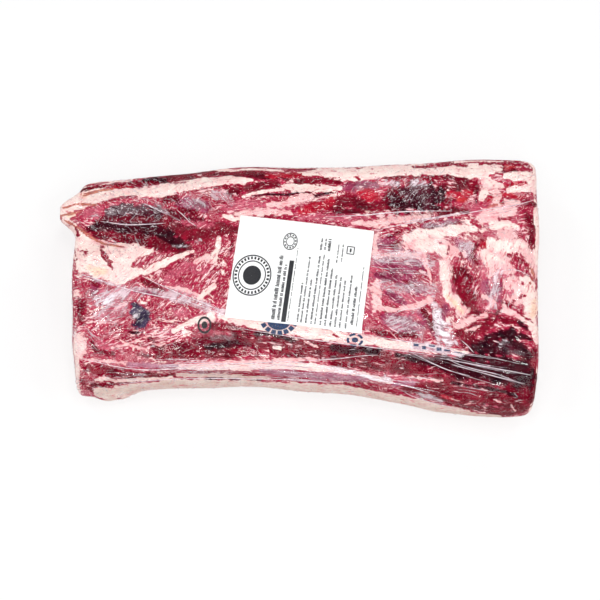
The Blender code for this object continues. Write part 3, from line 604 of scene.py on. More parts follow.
# Marks printed on the film, in the chart: centre, radii in pixels.
DARK_MARK_CENTRE, DARK_MARK_RADII = (204.5, 325.0), (7.0, 8.6)
BLUE_MARK_CENTRE, BLUE_MARK_RADII = (279.0, 317.0), (20.0, 18.0)
BLUE_CORE_CENTRE, BLUE_CORE_RADII = (279.0, 321.5), (11.5, 8.5)
SMALL_MARK_CENTRE, SMALL_MARK_RADII = (355.0, 340.0), (8.4, 6.6)
# Bars: column and row of the middle, length, width.
BLUE_BARS = (
    (416, 345.0, 5, 2.4), (424, 347.6, 4, 3.0), (432, 345.8, 6, 1.8), (439, 349.4, 5, 3.2),
    (447, 350.4, 6, 1.4), (458, 352.6, 8, 1.0),
)
BLUE_BAR_SLOPE, BLUE_BAR_STEPS = 0.13, 7
# Bands and discs, as shares of the radii. Dashes: how many, then first start, spread and length as angles.
DARK_MARK_BAND, DARK_MARK_DISC = (0.74, 1.0), 0.42
BLUE_DASH_BAND, SMALL_DASH_BAND, SMALL_MARK_DISC = (0.76, 1.0), (0.70, 1.0), 0.38
BLUE_DASHES = (7, 0.10 * np.pi, 0.80 * np.pi, 0.085 * np.pi)
SMALL_DASHES = (5, 0.1, 2 * np.pi, 0.9)
MARK_COVER = 0.86
MARK_LIFT, MARK_FOOT = 0.00012, 0.2  # metres over the film, and the share of it at which the ink's foot lies
DISC_EYE = 0.004  # share of its radii that a disc leaves open in its middle
FILM_GLOSS, FOLD_GLOSS = 0.014, 0.05  # shares of light that flat and folded film mirror head-on
GRAZING_GLOSS = 0.12
# Milkiness of the long folds and of the wrinkles, which paints their white sheen and glints; crinkle of the
# folds.
CREASE_MILK_AND_SHEEN, WRINKLE_MILK_AND_SHEEN, FOLD_CRINKLE = 1.30, 0.52, 0.5

# Noises drawn out along the fibres or the pull: stretch along, across and up, offset, detail, roughness,
# distortion.
DRAWN_NOISES = {
    "fibre": ((0.10, 0.85, 0.6), (0.0, 0.0, 0.0), 3.0, 0.6, 0.0),
    "fleck": ((0.12, 0.46, 0.35), (7.0, 3.0, 1.0), 3.0, 0.62, 0.6),
    "speck": ((0.45, 1.05, 0.8), (2.0, 9.0, 4.0), 2.0, 0.6, 0.0),
    "patchy": ((0.045, 0.06, 0.05), (0.0, 0.0, 0.0), 1.0, 0.5, 0.0),
    "edge": ((0.30, 0.92, 0.7), (11.0, 4.0, 6.0), 5.0, 0.72, 0.5),
    "smear": ((0.16, 0.42, 0.3), (5.0, 5.0, 5.0), 4.0, 0.65, 0.8),
    "tint": ((0.12, 0.20, 0.2), (1.0, 8.0, 3.0), 3.0, 0.6, 0.0),
    "sinew": ((0.020, 0.50, 0.4), (4.0, 2.0, 7.0), 3.0, 0.6, 0.0),
    "streak": ((0.022, 0.27, 0.15), (0.0, 0.0, 0.0), 2.0, 0.5, 0.4),
    "thread": ((0.05, 0.44, 0.3), (3.0, 1.0, 2.0), 2.0, 0.5, 0.6),
    "mottle": ((0.09, 0.34, 0.2), (6.0, 2.0, 5.0), 4.0, 0.68, 0.5),
}
# Noises even in all directions: scale, detail, roughness.
EVEN_NOISES = {
    "fine": (900.0, 2.0, 0.6),
    "sparkle": (640.0, 2.0, 0.7),
    "cloud": (150.0, 2.0, 0.6),
    "tooth": (2600.0, 2.0, 0.6),
    "wave": (45.0, 2.0, 0.5),
    "worn": (1100.0, 2.0, 0.6),
}
FIBRE_TINT, PIT_TINT, BLUSH_TINT, SINEW_TINT = (
    (0.42, 0.20, 0.28), (0.34, 0.14, 0.22), (0.93, 0.66, 0.72), (0.88, 0.76, 0.75),
)
# Stain of the fat; white of the film's painted glints; painted shade of the paper's waves.
STAIN_COLOUR, PAINTED_GLINT_COLOUR, PAPER_SHADE = (0.60, 0.11, 0.15), (0.98, 0.90, 0.93), (0.80, 0.80, 0.82)
FULL_LEAN = 0.9  # leanness at which flecks are neither rarer nor denser
LINE_SHARPNESS, THREAD_SHARPNESS = 105.0, 95.0
BEEF_BUMP, FILM_BUMP, PAPER_BUMP = (0.00012, 0.8), (0.00016, 1.0), (0.0004, 0.35)  # distance, strength
WHITE = (1.0, 1.0, 1.0, 1.0)

# Lights round the pack: azimuth from the camera's side and elevation in degrees, distance, side, power in W.
LIGHTS = (
    ("front", 0.0, 46.0, 1.8, 1.50, 22.0),
    ("overhead", 0.0, 88.0, 1.5, 0.30, 6.0),
    ("left", -75.0, 42.0, 1.7, 1.00, 14.5),
    ("right", 75.0, 42.0, 1.7, 1.00, 14.5),
    ("back_left", -140.0, 34.0, 1.6, 0.40, 8.0),
    ("back_right", 140.0, 34.0, 1.6, 0.40, 8.0),
    ("spark_left", -30.0, 66.0, 1.5, 0.12, 2.5),
    ("spark_right", 38.0, 62.0, 1.5, 0.12, 2.5),
    ("spark_far", -112.0, 60.0, 1.5, 0.12, 2.5),
    ("spark_back", 105.0, 62.0, 1.5, 0.12, 2.5),
    ("spark_high", 170.0, 78.0, 1.5, 0.08, 1.6),
    ("spark_low", 12.0, 30.0, 1.5, 0.12, 2.5),
)

# Relief in metres: how far the beef may rise, how far all of it sinks, how far under the label, and its
# lowest point; then the film's gap under the label and its two sets of wrinkles.
BEEF_RISE, BEEF_SINK, BEEF_LABEL_SINK, BEEF_FOOT = 0.00030, 0.00012, 0.0003, 0.0004
FILM_LABEL_GAP, FILM_WRINKLE, FILM_SECOND_WRINKLE = 0.00018, 0.00045, 0.00025
FLOOR_LEVEL, FLOOR_COLOUR, FLOOR_GLOW, FLOOR_GLOW_SHARE = -0.0003, (0.92, 0.92, 0.92, 1.0), 0.98, 0.70

# The muscle on each cut face: side, middle across and up, half width and half height, in mm.
END_MUSCLES = ((-1.0, (-6.0, 42.0), (86.0, 27.0)), (1.0, (-24.0, 41.0), (88.0, 27.0)))
SECOND_MUSCLE_STEP, SECOND_MUSCLE_LEVEL, SECOND_MUSCLE_REACH = 16.0, 40.0, 20.0

# Meshes: rings along the straight stretch, rings round an end, rings over a cut face, points round.
BEEF_GRID = (296, 15, 24, 262)
FILM_GRID = (250, 12, 16, 206)
END_MARGIN = 0.016
CAP_LEVEL = 0.544  # share of the height at which a cut face begins
CAP_MINIMUM = 0.02
SIDE_DENSITIES = (1.0, 0.92, 0.50, 0.14)  # points per length on the top, the front, the back and the belly
SPACING_HALF_WIDTH, SPACING_HALF_HEIGHT = 0.105, 0.040
SPACING_SAMPLES = 8001
TOP_FACE, BELLY_FACE = 0.7, -0.85  # where a section's top and belly begin, from -1 to 1


class BeefSettings(bpy.types.PropertyGroup):
    """Finish of the beef."""

    relief: bpy.props.FloatProperty(
        name="Relief", description="Height of the finest lumps", default=0.00028, unit="LENGTH"
    )
    fleck_colour: bpy.props.FloatVectorProperty(
        name="Marbling",
        description="Colour of the fine fat in the lean",
        subtype="COLOR",
        default=(0.90, 0.60, 0.62),
    )
    roughness: bpy.props.FloatProperty(
        name="Roughness", description="Roughness of the wet meat", default=0.42
    )


class FilmSettings(bpy.types.PropertyGroup):
    """Finish of the clear film."""

    gap: bpy.props.FloatProperty(
        name="Gap",
        description="Distance from the solid's surface to the film",
        default=0.00045,
        unit="LENGTH",
    )
    # The haze colour also colours the painted sheen of the milky patches.
    tint: bpy.props.FloatVectorProperty(
        name="Haze", description="Colour of milky film", subtype="COLOR", default=(0.96, 0.83, 0.90)
    )
    roughness: bpy.props.FloatProperty(name="Roughness", description="Roughness of the film", default=0.06)


class LabelSettings(bpy.types.PropertyGroup):
    """Finish of the label and of the prints."""

    paper: bpy.props.FloatVectorProperty(
        name="Paper", description="Colour of the paper", subtype="COLOR", default=(0.93, 0.93, 0.93)
    )
    black_ink: bpy.props.FloatVectorProperty(
        name="Black ink",
        description="Colour of the label's print",
        subtype="COLOR",
        default=(0.022, 0.022, 0.026),
    )
    blue_ink: bpy.props.FloatVectorProperty(
        name="Blue ink",
        description="Colour of the film's print",
        subtype="COLOR",
        default=(0.018, 0.045, 0.12),
    )


class StageSettings(bpy.types.PropertyGroup):
    """Floor, light and camera."""

    floor_size: bpy.props.FloatProperty(
        name="Floor", description="Side of the square floor", default=6.0, unit="LENGTH"
    )
    world_strength: bpy.props.FloatProperty(name="Sky", description="Strength of the white sky", default=0.04)
    light: bpy.props.FloatProperty(name="Light", description="Share of each light's power", default=0.56)


def smooth_step(low, high, value):
    """0 below low, 1 above high, and a smooth cubic rise between them."""
    share = np.clip((value - low) / (high - low), 0.0, 1.0)
    return share * share * (3.0 - 2.0 * share)


def smooth_curve(x, points):
    """Height at x of the cubic curve through the points, whose slope at each is that of its neighbours."""
    knots, values = np.array(points, dtype=float).T
    slopes = np.gradient(values, knots)
    x = np.clip(x, knots[0], knots[-1])
    i = np.clip(np.searchsorted(knots, x, side="right") - 1, 0, len(knots) - 2)
    span = knots[i + 1] - knots[i]
    t = (x - knots[i]) / span
    return (
        (2 * t**3 - 3 * t**2 + 1) * values[i]
        + (t**3 - 2 * t**2 + t) * span * slopes[i]
        + (3 * t**2 - 2 * t**3) * values[i + 1]
        + (t**3 - t**2) * span * slopes[i + 1]
    )


def distance_to_path(p, q, path):
    """Shortest distance in a plane from the points (p, q) to a line through the path's points."""
    nearest = np.full(np.shape(p), np.inf)
    for start, end in zip(path[:-1], path[1:], strict=True):
        run_p, run_q = end[0] - start[0], end[1] - start[1]
        along = np.clip(((p - start[0]) * run_p + (q - start[1]) * run_q) / (run_p**2 + run_q**2), 0.0, 1.0)
        nearest = np.minimum(nearest, np.hypot(p - start[0] - along * run_p, q - start[1] - along * run_q))
    return nearest


def relief(p, q, ridges):
    """Sum of rounded ridges: each has the height of a bell curve over the distance to its path."""
    total = np.zeros(np.shape(p))
    for path, half_width, height in ridges:
        total += height * np.exp(-((distance_to_path(p, q, path) / half_width) ** 2))
    return total


def lumps(x, y, z):
    """Sum of slow sine waves through space."""
    total = np.zeros(np.shape(x))
    for (along, across, up), phase, height in LUMPS:
        total += height * np.sin(along * x + across * y + up * z + phase)
    return total


def section(x):
    """Middle, half width and height of the section at x, from the two long edges and the crown."""
    back, front = smooth_curve(x, BACK_EDGE), smooth_curve(x, FRONT_EDGE)
    return (back + front) / 2, (back - front) / 2, smooth_curve(x, CROWN)


def end_scales(x):
    """How much a section has shrunk at x, in width and in height, as the plan and side views round off."""
    middle, reach = (BODY_LEFT + BODY_RIGHT) / 2, (BODY_RIGHT - BODY_LEFT) / 2
    share = np.clip(np.abs(x - middle) / reach, 0.0, 1.0)
    return (1.0 - share**PLAN_POWER) ** (1.0 / PLAN_POWER), (1.0 - share**END_POWER) ** (1.0 / END_POWER)


def beside_label(x, y):
    """0 under the label and 1 well away from it."""
    cos, sin = np.cos(LABEL_TURN), np.sin(LABEL_TURN)
    from_x, from_y = x - LABEL_CENTRE[0], y - LABEL_CENTRE[1]
    out = np.hypot(
        np.maximum(np.abs(from_x * cos + from_y * sin) - LABEL_LENGTH / 2, 0.0),
        np.maximum(np.abs(from_y * cos - from_x * sin) - LABEL_WIDTH / 2, 0.0),
    )
    return smooth_step(*LABEL_EASE, out)


def pack_surface(x, turn, scale):
    """Points of the pack at x, at the angle turn round the section, with the section shrunk by scale.

    A section is a superellipse with one power above its middle and another below. The back is lower
    than the front, the belly is cut flat at the floor, and the relief is added up on the top and
    outwards on the four upright faces.
    """
    middle, half_width, height = section(x)
    shrink_width, shrink_height = end_scales(x)
    half_height = (height + FLOOR_SINK) / 2 * shrink_height * scale
    cos, sin = np.cos(turn), np.sin(turn)
    power = np.where(sin > 0, TOP_POWER, BELLY_POWER)
    across = np.sign(cos) * np.abs(cos) ** (2.0 / power)
    up = np.sign(sin) * np.abs(sin) ** (2.0 / power)
    drop = np.where(sin > 0, 1.0 - BACK_DROP * (0.5 + 0.5 * across), 1.0)
    y = middle + half_width * shrink_width * scale * across
    z = (height - FLOOR_SINK) / 2 + half_height * up * drop
    upper = smooth_step(*TOP_ZONE, up)
    above_belly = smooth_step(*BELLY_ZONE, up)
    front = smooth_step(*SIDE_ZONE, -across) * above_belly * scale
    back = smooth_step(*SIDE_ZONE, across) * above_belly * scale
    left = 1.0 - smooth_step(*END_ZONE, x - BODY_LEFT)
    right = 1.0 - smooth_step(*END_ZONE, BODY_RIGHT - x)
    swell = lumps(x, y, z) * above_belly
    top = relief(x, y, TOP_RIDGES) * beside_label(x, y) * np.minimum(shrink_height, scale)
    slant = RIGHT_SLANT * smooth_step(SLANT_START, BODY_RIGHT, x)
    out_x = right * (relief(y, z, RIGHT_RIDGES) + swell) - left * (relief(y, z, LEFT_RIDGES) + swell)
    out_y = back * (relief(x, z, BACK_RIDGES) + swell) - front * (relief(x, z, FRONT_RIDGES) + swell)
    raised = z + upper * (top + swell * scale)
    return np.stack([x + slant * (y - middle) + out_x, y + out_y, np.maximum(raised, 0.0)], axis=-1)


def top_height(x, y):
    """Height of the pack's top over a plan point well inside the outline."""
    middle, half_width, height = section(x)
    shrink_width, shrink_height = end_scales(x)
    across = (y - middle) / (half_width * shrink_width)
    up = (1.0 - np.abs(across) ** TOP_POWER) ** (1.0 / TOP_POWER)
    drop = 1.0 - BACK_DROP * (0.5 + 0.5 * across)
    z = (height - FLOOR_SINK) / 2 + (height + FLOOR_SINK) / 2 * shrink_height * up * drop
    top = relief(x, y, TOP_RIDGES) * beside_label(x, y) * shrink_height
    return z + smooth_step(*TOP_ZONE, up) * (top + lumps(x, y, z))


def rings_along(straight, end, cap):
    """The x and the scale of each ring: even along the loin, even in height round an end, then the cap."""
    reach = (BODY_RIGHT - BODY_LEFT) / 2
    start = (1.0 - (1.0 - END_MARGIN / reach) ** END_POWER) ** (1.0 / END_POWER)
    level = np.linspace(start, CAP_LEVEL, end + 1)[1:]
    inset = reach * (1.0 - (1.0 - level**END_POWER) ** (1.0 / END_POWER))
    caps = np.linspace(1.0, CAP_MINIMUM, cap + 1)[1:]
    middle = np.linspace(BODY_LEFT + END_MARGIN, BODY_RIGHT - END_MARGIN, straight + 1)
    flat = np.full(cap, inset[-1])
    left, right = [BODY_LEFT + flat, BODY_LEFT + inset[::-1]], [BODY_RIGHT - inset, BODY_RIGHT - flat]
    scale = np.concatenate([caps[::-1], np.ones(len(middle) + 2 * end), caps])
    return np.concatenate([*left, middle, *right]), scale


def turns_round(count):
    """Angles round a section, spaced by arc length, with a density of its own for each of its four faces."""
    top, front, back, belly = SIDE_DENSITIES
    turn = np.linspace(0.0, 2 * np.pi, SPACING_SAMPLES)
    power = np.where(np.sin(turn) > 0, TOP_POWER, BELLY_POWER)
    across = np.sign(np.cos(turn)) * np.abs(np.cos(turn)) ** (2.0 / power)
    up = np.sign(np.sin(turn)) * np.abs(np.sin(turn)) ** (2.0 / power)
    step = np.hypot(np.diff(across) * SPACING_HALF_WIDTH, np.diff(up) * SPACING_HALF_HEIGHT)
    side = np.where(across[1:] < 0, front, back)
    density = np.where(up[1:] > TOP_FACE, top, np.where(up[1:] > BELLY_FACE, side, belly))
    run = np.concatenate([[0.0], np.cumsum(step * density)])
    return np.interp(np.arange(count) / count * run[-1], run, turn)


def unit(vectors):
    """Vectors of length one."""
    return vectors / np.maximum(np.linalg.norm(vectors, axis=-1, keepdims=True), 1e-12)


def grid_normals(points):
    """Outward normals of a closed loft: the cross product of its two central differences."""
    along = np.gradient(points, axis=0)
    round_ = np.roll(points, -1, axis=1) - np.roll(points, 1, axis=1)
    normals = unit(np.cross(round_, along))
    normals[:2] = (-1.0, 0.0, 0.0)
    normals[-2:] = (1.0, 0.0, 0.0)
    return normals


def value_noise(points, scale, seed):
    """Smooth random field between -1 and 1: random values at lattice corners, blended by cubic steps."""
    random = np.random.default_rng(seed)
    order = random.permutation(1024)
    value = random.uniform(-1.0, 1.0, 1024)
    place = points / scale
    cell = np.floor(place).astype(int)
    blend = place - cell
    blend = blend * blend * (3.0 - 2.0 * blend)
    total = np.zeros(points.shape[:-1])
    for corner in np.ndindex(2, 2, 2):
        key = np.zeros(points.shape[:-1], dtype=int)
        weight = np.ones(points.shape[:-1])
        for axis, side in enumerate(corner):
            key = order[(key + cell[..., axis] + side) & 1023]
            weight = weight * (blend[..., axis] if side else 1.0 - blend[..., axis])
        total += weight * value[key]
    return total


def fractal(points, scale, seed, octaves=3):
    """Sum of value noises, each of half the size and half the height of the one before."""
    total = np.zeros(points.shape[:-1])
    for octave in range(octaves):
        total += value_noise(points, scale / 2**octave, seed + 17 * octave) / 2**octave
    return total


def chart(points):
    """Column and row of points in the view of the scene's camera: a perspective of its eye point."""
    seen = points - VIEW_TARGET
    up = seen[..., 1] * np.sin(VIEW_ELEVATION) + seen[..., 2] * np.cos(VIEW_ELEVATION)
    size = VIEW_DISTANCE / (VIEW_DISTANCE - seen @ VIEW_DIRECTION) / VIEW_PIXEL
    return np.stack([VIEW_MIDDLE[0] + seen[..., 0] * size, VIEW_MIDDLE[1] - up * size], axis=-1)


def stroke(place, path):
    """Distance to a path over its half width there, for points near it and 9 for the others."""
    path = np.array(path, dtype=float).reshape(-1, 3)
    reach = path[:, 2].max() * PATCH_REACH
    low, high = path[:, :2].min(axis=0) - reach, path[:, :2].max(axis=0) + reach
    near = np.all((place > low) & (place < high), axis=-1)
    spot = place[near]
    nearest = np.full(len(spot), 9.0)
    for start, end in zip(path[:-1], path[1:], strict=True):
        run = end[:2] - start[:2]
        along = np.clip((spot - start[:2]) @ run / (run @ run), 0.0, 1.0)
        gap = np.linalg.norm(spot - start[:2] - along[:, None] * run, axis=-1)
        nearest = np.minimum(nearest, gap / (start[2] + along * (end[2] - start[2])))
    shares = np.full(place.shape[:-1], 9.0)
    shares[near] = nearest
    return shares


def srgb(colour):
    """Linear colour of an sRGB colour given from 0 to 255."""
    colour = np.array(colour, dtype=float) / 255.0
    return np.where(colour <= 0.04045, colour / 12.92, ((colour + 0.055) / 1.055) ** 2.4)


def mix(first, second, share):
    """Blend of two colours or arrays of colours by a share."""
    return first + (second - first) * np.asarray(share)[..., None]


def nearest_region(points, place, regions):
    """Which region's centre lies nearest in shares of its reach, with the borders shaken by noise."""
    score = [np.hypot(*(place - np.array(centre)).T) / reach for centre, reach, *_ in regions]
    ragged = 0.25 * value_noise(points, 0.008, 61)
    return np.argmin(np.stack(score) + ragged * np.arange(len(regions))[:, None] % 0.3, axis=0)


def grain_places(points, nearest, regions):
    """Places in mm along and across the fibres: the plan turned by the angle of each point's region."""
    angle = np.radians(np.array([region[2] for region in regions]))[nearest]
    flat = np.stack([points[:, 0], points[:, 1] + points[:, 2]], axis=-1) / MM
    along = flat[:, 0] * np.cos(angle) + flat[:, 1] * np.sin(angle)
    across = flat[:, 1] * np.cos(angle) - flat[:, 0] * np.sin(angle)
    return np.stack([along, across, points[:, 2] / MM], axis=-1)


class Tissue:
    """The beef's layers at every point: colours of lean and fat, how fully fat covers, leanness, height."""

    def __init__(self, points):
        tone = 0.5 + 0.5 * np.clip(fractal(points, 0.022, 3), -1, 1)
        self.flesh = mix(srgb(LEAN_TONES[0]), srgb(LEAN_TONES[1]), tone)
        self.suet = mix(srgb(TISSUES["fat"][0]), srgb(TISSUES["fat"][1]), tone)
        self.fat = np.zeros(len(points))
        self.lean = np.ones(len(points))
        self.height = np.zeros(len(points))

    def lay(self, name, cover, tone):
        """Lays a tissue by a cover from 0 to 1, blended between its two tones."""
        light, dark, _, leanness, raised, fullness = TISSUES[name]
        paint = mix(srgb(light), srgb(dark), tone)
        if fullness > 0:
            self.suet = self.suet + (paint - self.suet) * cover[:, None]
        else:
            self.flesh = self.flesh + (paint - self.flesh) * cover[:, None]
        self.fat = self.fat + (np.maximum(fullness, self.fat * (fullness > 0)) - self.fat) * cover
        self.lean = self.lean + (leanness - self.lean) * cover
        self.height = self.height + (raised - self.height) * cover


def all_round_tissue(points, normals):
    """The beef where no patch lies.

    The belly and the foot of every side are the fat cap. The two cut faces show a large round muscle
    in a rim of fat. The back shows lean between long seams of fat.
    """
    y, z = points[:, 1] / MM, points[:, 2] / MM
    tissue = Tissue(points)
    tone = 0.5 + 0.5 * np.clip(fractal(points, 0.009, 5), -1, 1)
    ragged = fractal(points, 0.010, 8, 4)
    stretched = fractal(points * (0.16, 1.0, 1.0), 0.006, 9, 3)
    back = smooth_step(0.25, 0.6, normals[:, 1])
    tissue.lay("fat", back * smooth_step(0.0, 0.4, stretched), tone)
    tissue.lay("wine", back * smooth_step(0.30, 0.75, -stretched) * 0.85, tone)
    for side, middle, half in END_MUSCLES:
        end = smooth_step(0.45, 0.75, normals[:, 0] * side)
        rim = np.hypot((y - middle[0]) / half[0], (z - middle[1]) / half[1]) + 0.07 * ragged
        beyond = y - middle[0] - half[0] - SECOND_MUSCLE_STEP
        second = np.hypot(beyond / SECOND_MUSCLE_REACH, (z - SECOND_MUSCLE_LEVEL) / SECOND_MUSCLE_REACH)
        second = second + 0.12 * ragged
        tissue.lay("rose", end * smooth_step(0.55, 0.15, rim) * 0.35, tone)
        tissue.lay("fat", end * smooth_step(0.88, 1.02, rim) * smooth_step(0.76, 0.94, second), tone)
    tissue.lay("cap", smooth_step(18.0, 11.0, z + 3.5 * ragged), tone)
    return tissue


def beef_paint(points, normals):
    """The beef's tissue and grain: the patches laid in turn over the all-round tissue, then marbling.

    A patch covers where the distance to its path, over its half width and shaken by noise, is under 1.
    Marbling is fat along the crests of two noises drawn out along the grain.
    """
    place = chart(points)
    seen = smooth_step(*CHART_FACING, normals @ VIEW_DIRECTION)
    grain = grain_places(points, nearest_region(points, place, GRAINS), GRAINS)
    tissue = all_round_tissue(points, normals)
    coarse = value_noise(points, 0.0065, 21)
    medium = value_noise(points, 0.0032, 22)
    fine = value_noise(points, 0.0017, 23)
    fibre = value_noise(grain * (0.16, 0.62, 0.4), 1.0, 24)
    shake = 0.50 * coarse + 0.42 * medium + 0.30 * fine + 0.34 * fibre
    tone = 0.5 + 0.5 * np.clip(value_noise(points, 0.006, 31) + 0.7 * fibre, -1, 1)
    for name, patches in PATCHES:
        ragged, softness = TISSUES[name][2], FAT_SOFTNESS if TISSUES[name][5] > 0 else PATCH_SOFTNESS
        cover = np.zeros(len(points))
        for path in patches.values():
            share = stroke(place, path) + ragged * shake
            cover = np.maximum(cover, smooth_step(1.0 + softness, 1.0 - softness, share))
        tissue.lay(name, cover * seen, tone)
    vein = 1.0 - np.abs(value_noise(grain * (0.050, 0.17, 0.15), 1.0, 41) + 0.35 * medium)
    second = 1.0 - np.abs(value_noise(grain * (0.09, 0.30, 0.2), 1.0, 42) + 0.30 * fine)
    marbling = np.maximum(smooth_step(0.83, 0.99, vein), 0.85 * smooth_step(0.84, 0.99, second))
    marbling = marbling * tissue.lean * smooth_step(-0.5, 0.3, value_noise(points, 0.018, 43))
    tissue.fat = np.maximum(tissue.fat, 0.72 * marbling)
    tissue.height = tissue.height + 0.2 * marbling
    return tissue, grain


def film_state(points, normals):
    """Milkiness, crinkle and pull of the film at points: the milky patches over a faint even haze. The
    patches hold real haze and painted sheen and glints alike.
    """
    place = chart(points)
    seen = smooth_step(*CHART_FACING, normals @ VIEW_DIRECTION)
    nearest = nearest_region(points, place, PULLS)
    pull = grain_places(points, nearest, PULLS)
    shake = 0.55 * value_noise(points, 0.006, 71) + 0.5 * value_noise(pull * (0.13, 0.7, 0.4), 1.0, 72)
    shake = shake + 0.35 * value_noise(points, 0.0022, 73)
    milk_and_sheen = np.zeros(len(points))
    for path, strength in MILK_AND_SHEEN:
        share = stroke(place, path) + 0.75 * shake
        milk_and_sheen = np.maximum(milk_and_sheen, strength * smooth_step(1.25, 0.70, share))
    reach = [np.hypot(*(place - np.array(centre)).T) / size for centre, size, *_ in PULLS]
    reach = np.stack(reach).min(axis=0)
    strength = np.array([region[3] for region in PULLS])[nearest]
    strength = strength * smooth_step(1.35, 0.75, reach) + 0.30 * smooth_step(0.9, 1.4, reach)
    crinkle = strength * seen + 0.55 * (1.0 - seen)
    return milk_and_sheen * seen, crinkle, pull


def loft_mesh(name, points):
    """One closed mesh over a grid of rings, with a fan at each end."""
    rings, count = points.shape[:2]
    poles = points[[0, -1]].mean(axis=1)
    ring, point = np.meshgrid(np.arange(rings - 1) * count, np.arange(count), indexing="ij")
    after = (point + 1) % count
    quads = np.stack([ring + point, ring + after, ring + count + after, ring + count + point], axis=-1)
    near = np.arange(count)
    following = (near + 1) % count
    left, right, last = rings * count, rings * count + 1, (rings - 1) * count
    fans = np.concatenate(
        [
            np.stack([np.full(count, left), following, near], axis=1),
            np.stack([np.full(count, right), last + near, last + following], axis=1),
        ]
    )
    return build_mesh(name, np.concatenate([points.reshape(-1, 3), poles]), quads.reshape(-1, 4), fans)


def build_mesh(name, points, quads, triangles=None):
    """A mesh from arrays of points, quads and triangles, shaded smooth."""
    mesh = bpy.data.meshes.new(name)
    triangles = np.zeros((0, 3), dtype=int) if triangles is None else triangles
    corners = np.concatenate([quads.ravel(), triangles.ravel()])
    sizes = np.concatenate([np.full(len(quads), 4), np.full(len(triangles), 3)])
    mesh.vertices.add(len(points))
    mesh.vertices.foreach_set("co", points.astype(np.float32).ravel())
    mesh.loops.add(len(corners))
    mesh.loops.foreach_set("vertex_index", corners.astype(np.int32))
    mesh.polygons.add(len(sizes))
    mesh.polygons.foreach_set("loop_start", np.concatenate([[0], np.cumsum(sizes)[:-1]]).astype(np.int32))
    mesh.update(calc_edges=True)
    mesh.validate()
    mesh.shade_smooth()
    return mesh


def set_attribute(mesh, name, values):
    """A value, vector or colour at every point; the last values serve the poles that a loft adds."""
    values = np.asarray(values, dtype=np.float32)
    missing = len(mesh.vertices) - len(values)
    if missing:
        values = np.concatenate([values, values[[0, -1]]])
    if values.ndim == 1:
        mesh.attributes.new(name, "FLOAT", "POINT").data.foreach_set("value", values)
    elif name in ("flesh", "suet"):
        rgba = np.concatenate([values, np.ones((len(values), 1), dtype=np.float32)], axis=1)
        mesh.attributes.new(name, "FLOAT_COLOR", "POINT").data.foreach_set("color", rgba.ravel())
    else:
        mesh.attributes.new(name, "FLOAT_VECTOR", "POINT").data.foreach_set("vector", values.ravel())


def place_piece(name, mesh, material, replaced=None):
    """Puts a finished mesh in the scene as a piece that rides on the part."""
    piece = bpy.data.objects.new(name, mesh)
    bpy.context.scene.collection.objects.link(piece)
    mesh.materials.append(material)
    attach(piece, "root")
    if replaced:
        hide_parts(replaced)


def film_surface():
    """The film's grid of points and normals, and its milkiness, crinkle and pull.

    The film lies a gap outside the pack's surface and rises from it in sharp-topped wrinkles, whose
    height follows the crinkle and whose length follows the pull.
    """
    settings = bpy.context.scene.striploin_film
    straight, end, cap, count = FILM_GRID
    x, scale = rings_along(straight, end, cap)
    turn = turns_round(count)
    grid = np.broadcast_arrays(x[:, None], turn[None, :], scale[:, None])
    points = pack_surface(*grid)
    normals = grid_normals(points)
    flat, flat_normals = points.reshape(-1, 3), normals.reshape(-1, 3)
    milk_and_sheen, crinkle, pull = film_state(flat, flat_normals)
    ridge = 1.0 - np.abs(value_noise(pull * (0.05, 0.30, 0.2), 1.0, 81))
    second = 1.0 - np.abs(value_noise(pull * (0.09, 0.52, 0.3), 1.0, 82))
    rise = settings.gap + crinkle * (FILM_WRINKLE * ridge**5 + FILM_SECOND_WRINKLE * second**5)
    label = beside_label(flat[:, 0], flat[:, 1])
    on_top = flat_normals[:, 2] > 0.5
    rise = np.where(on_top, FILM_LABEL_GAP + (rise - FILM_LABEL_GAP) * label, rise)
    flat = flat + flat_normals * rise[:, None]
    flat[:, 2] = np.maximum(flat[:, 2], 0.0)
    return flat.reshape(points.shape), grid_normals(flat.reshape(points.shape)), milk_and_sheen, crinkle, pull


def cross_product(first, second):
    """Cross product of vectors in a plane."""
    return first[..., 0] * second[..., 1] - first[..., 1] * second[..., 0]


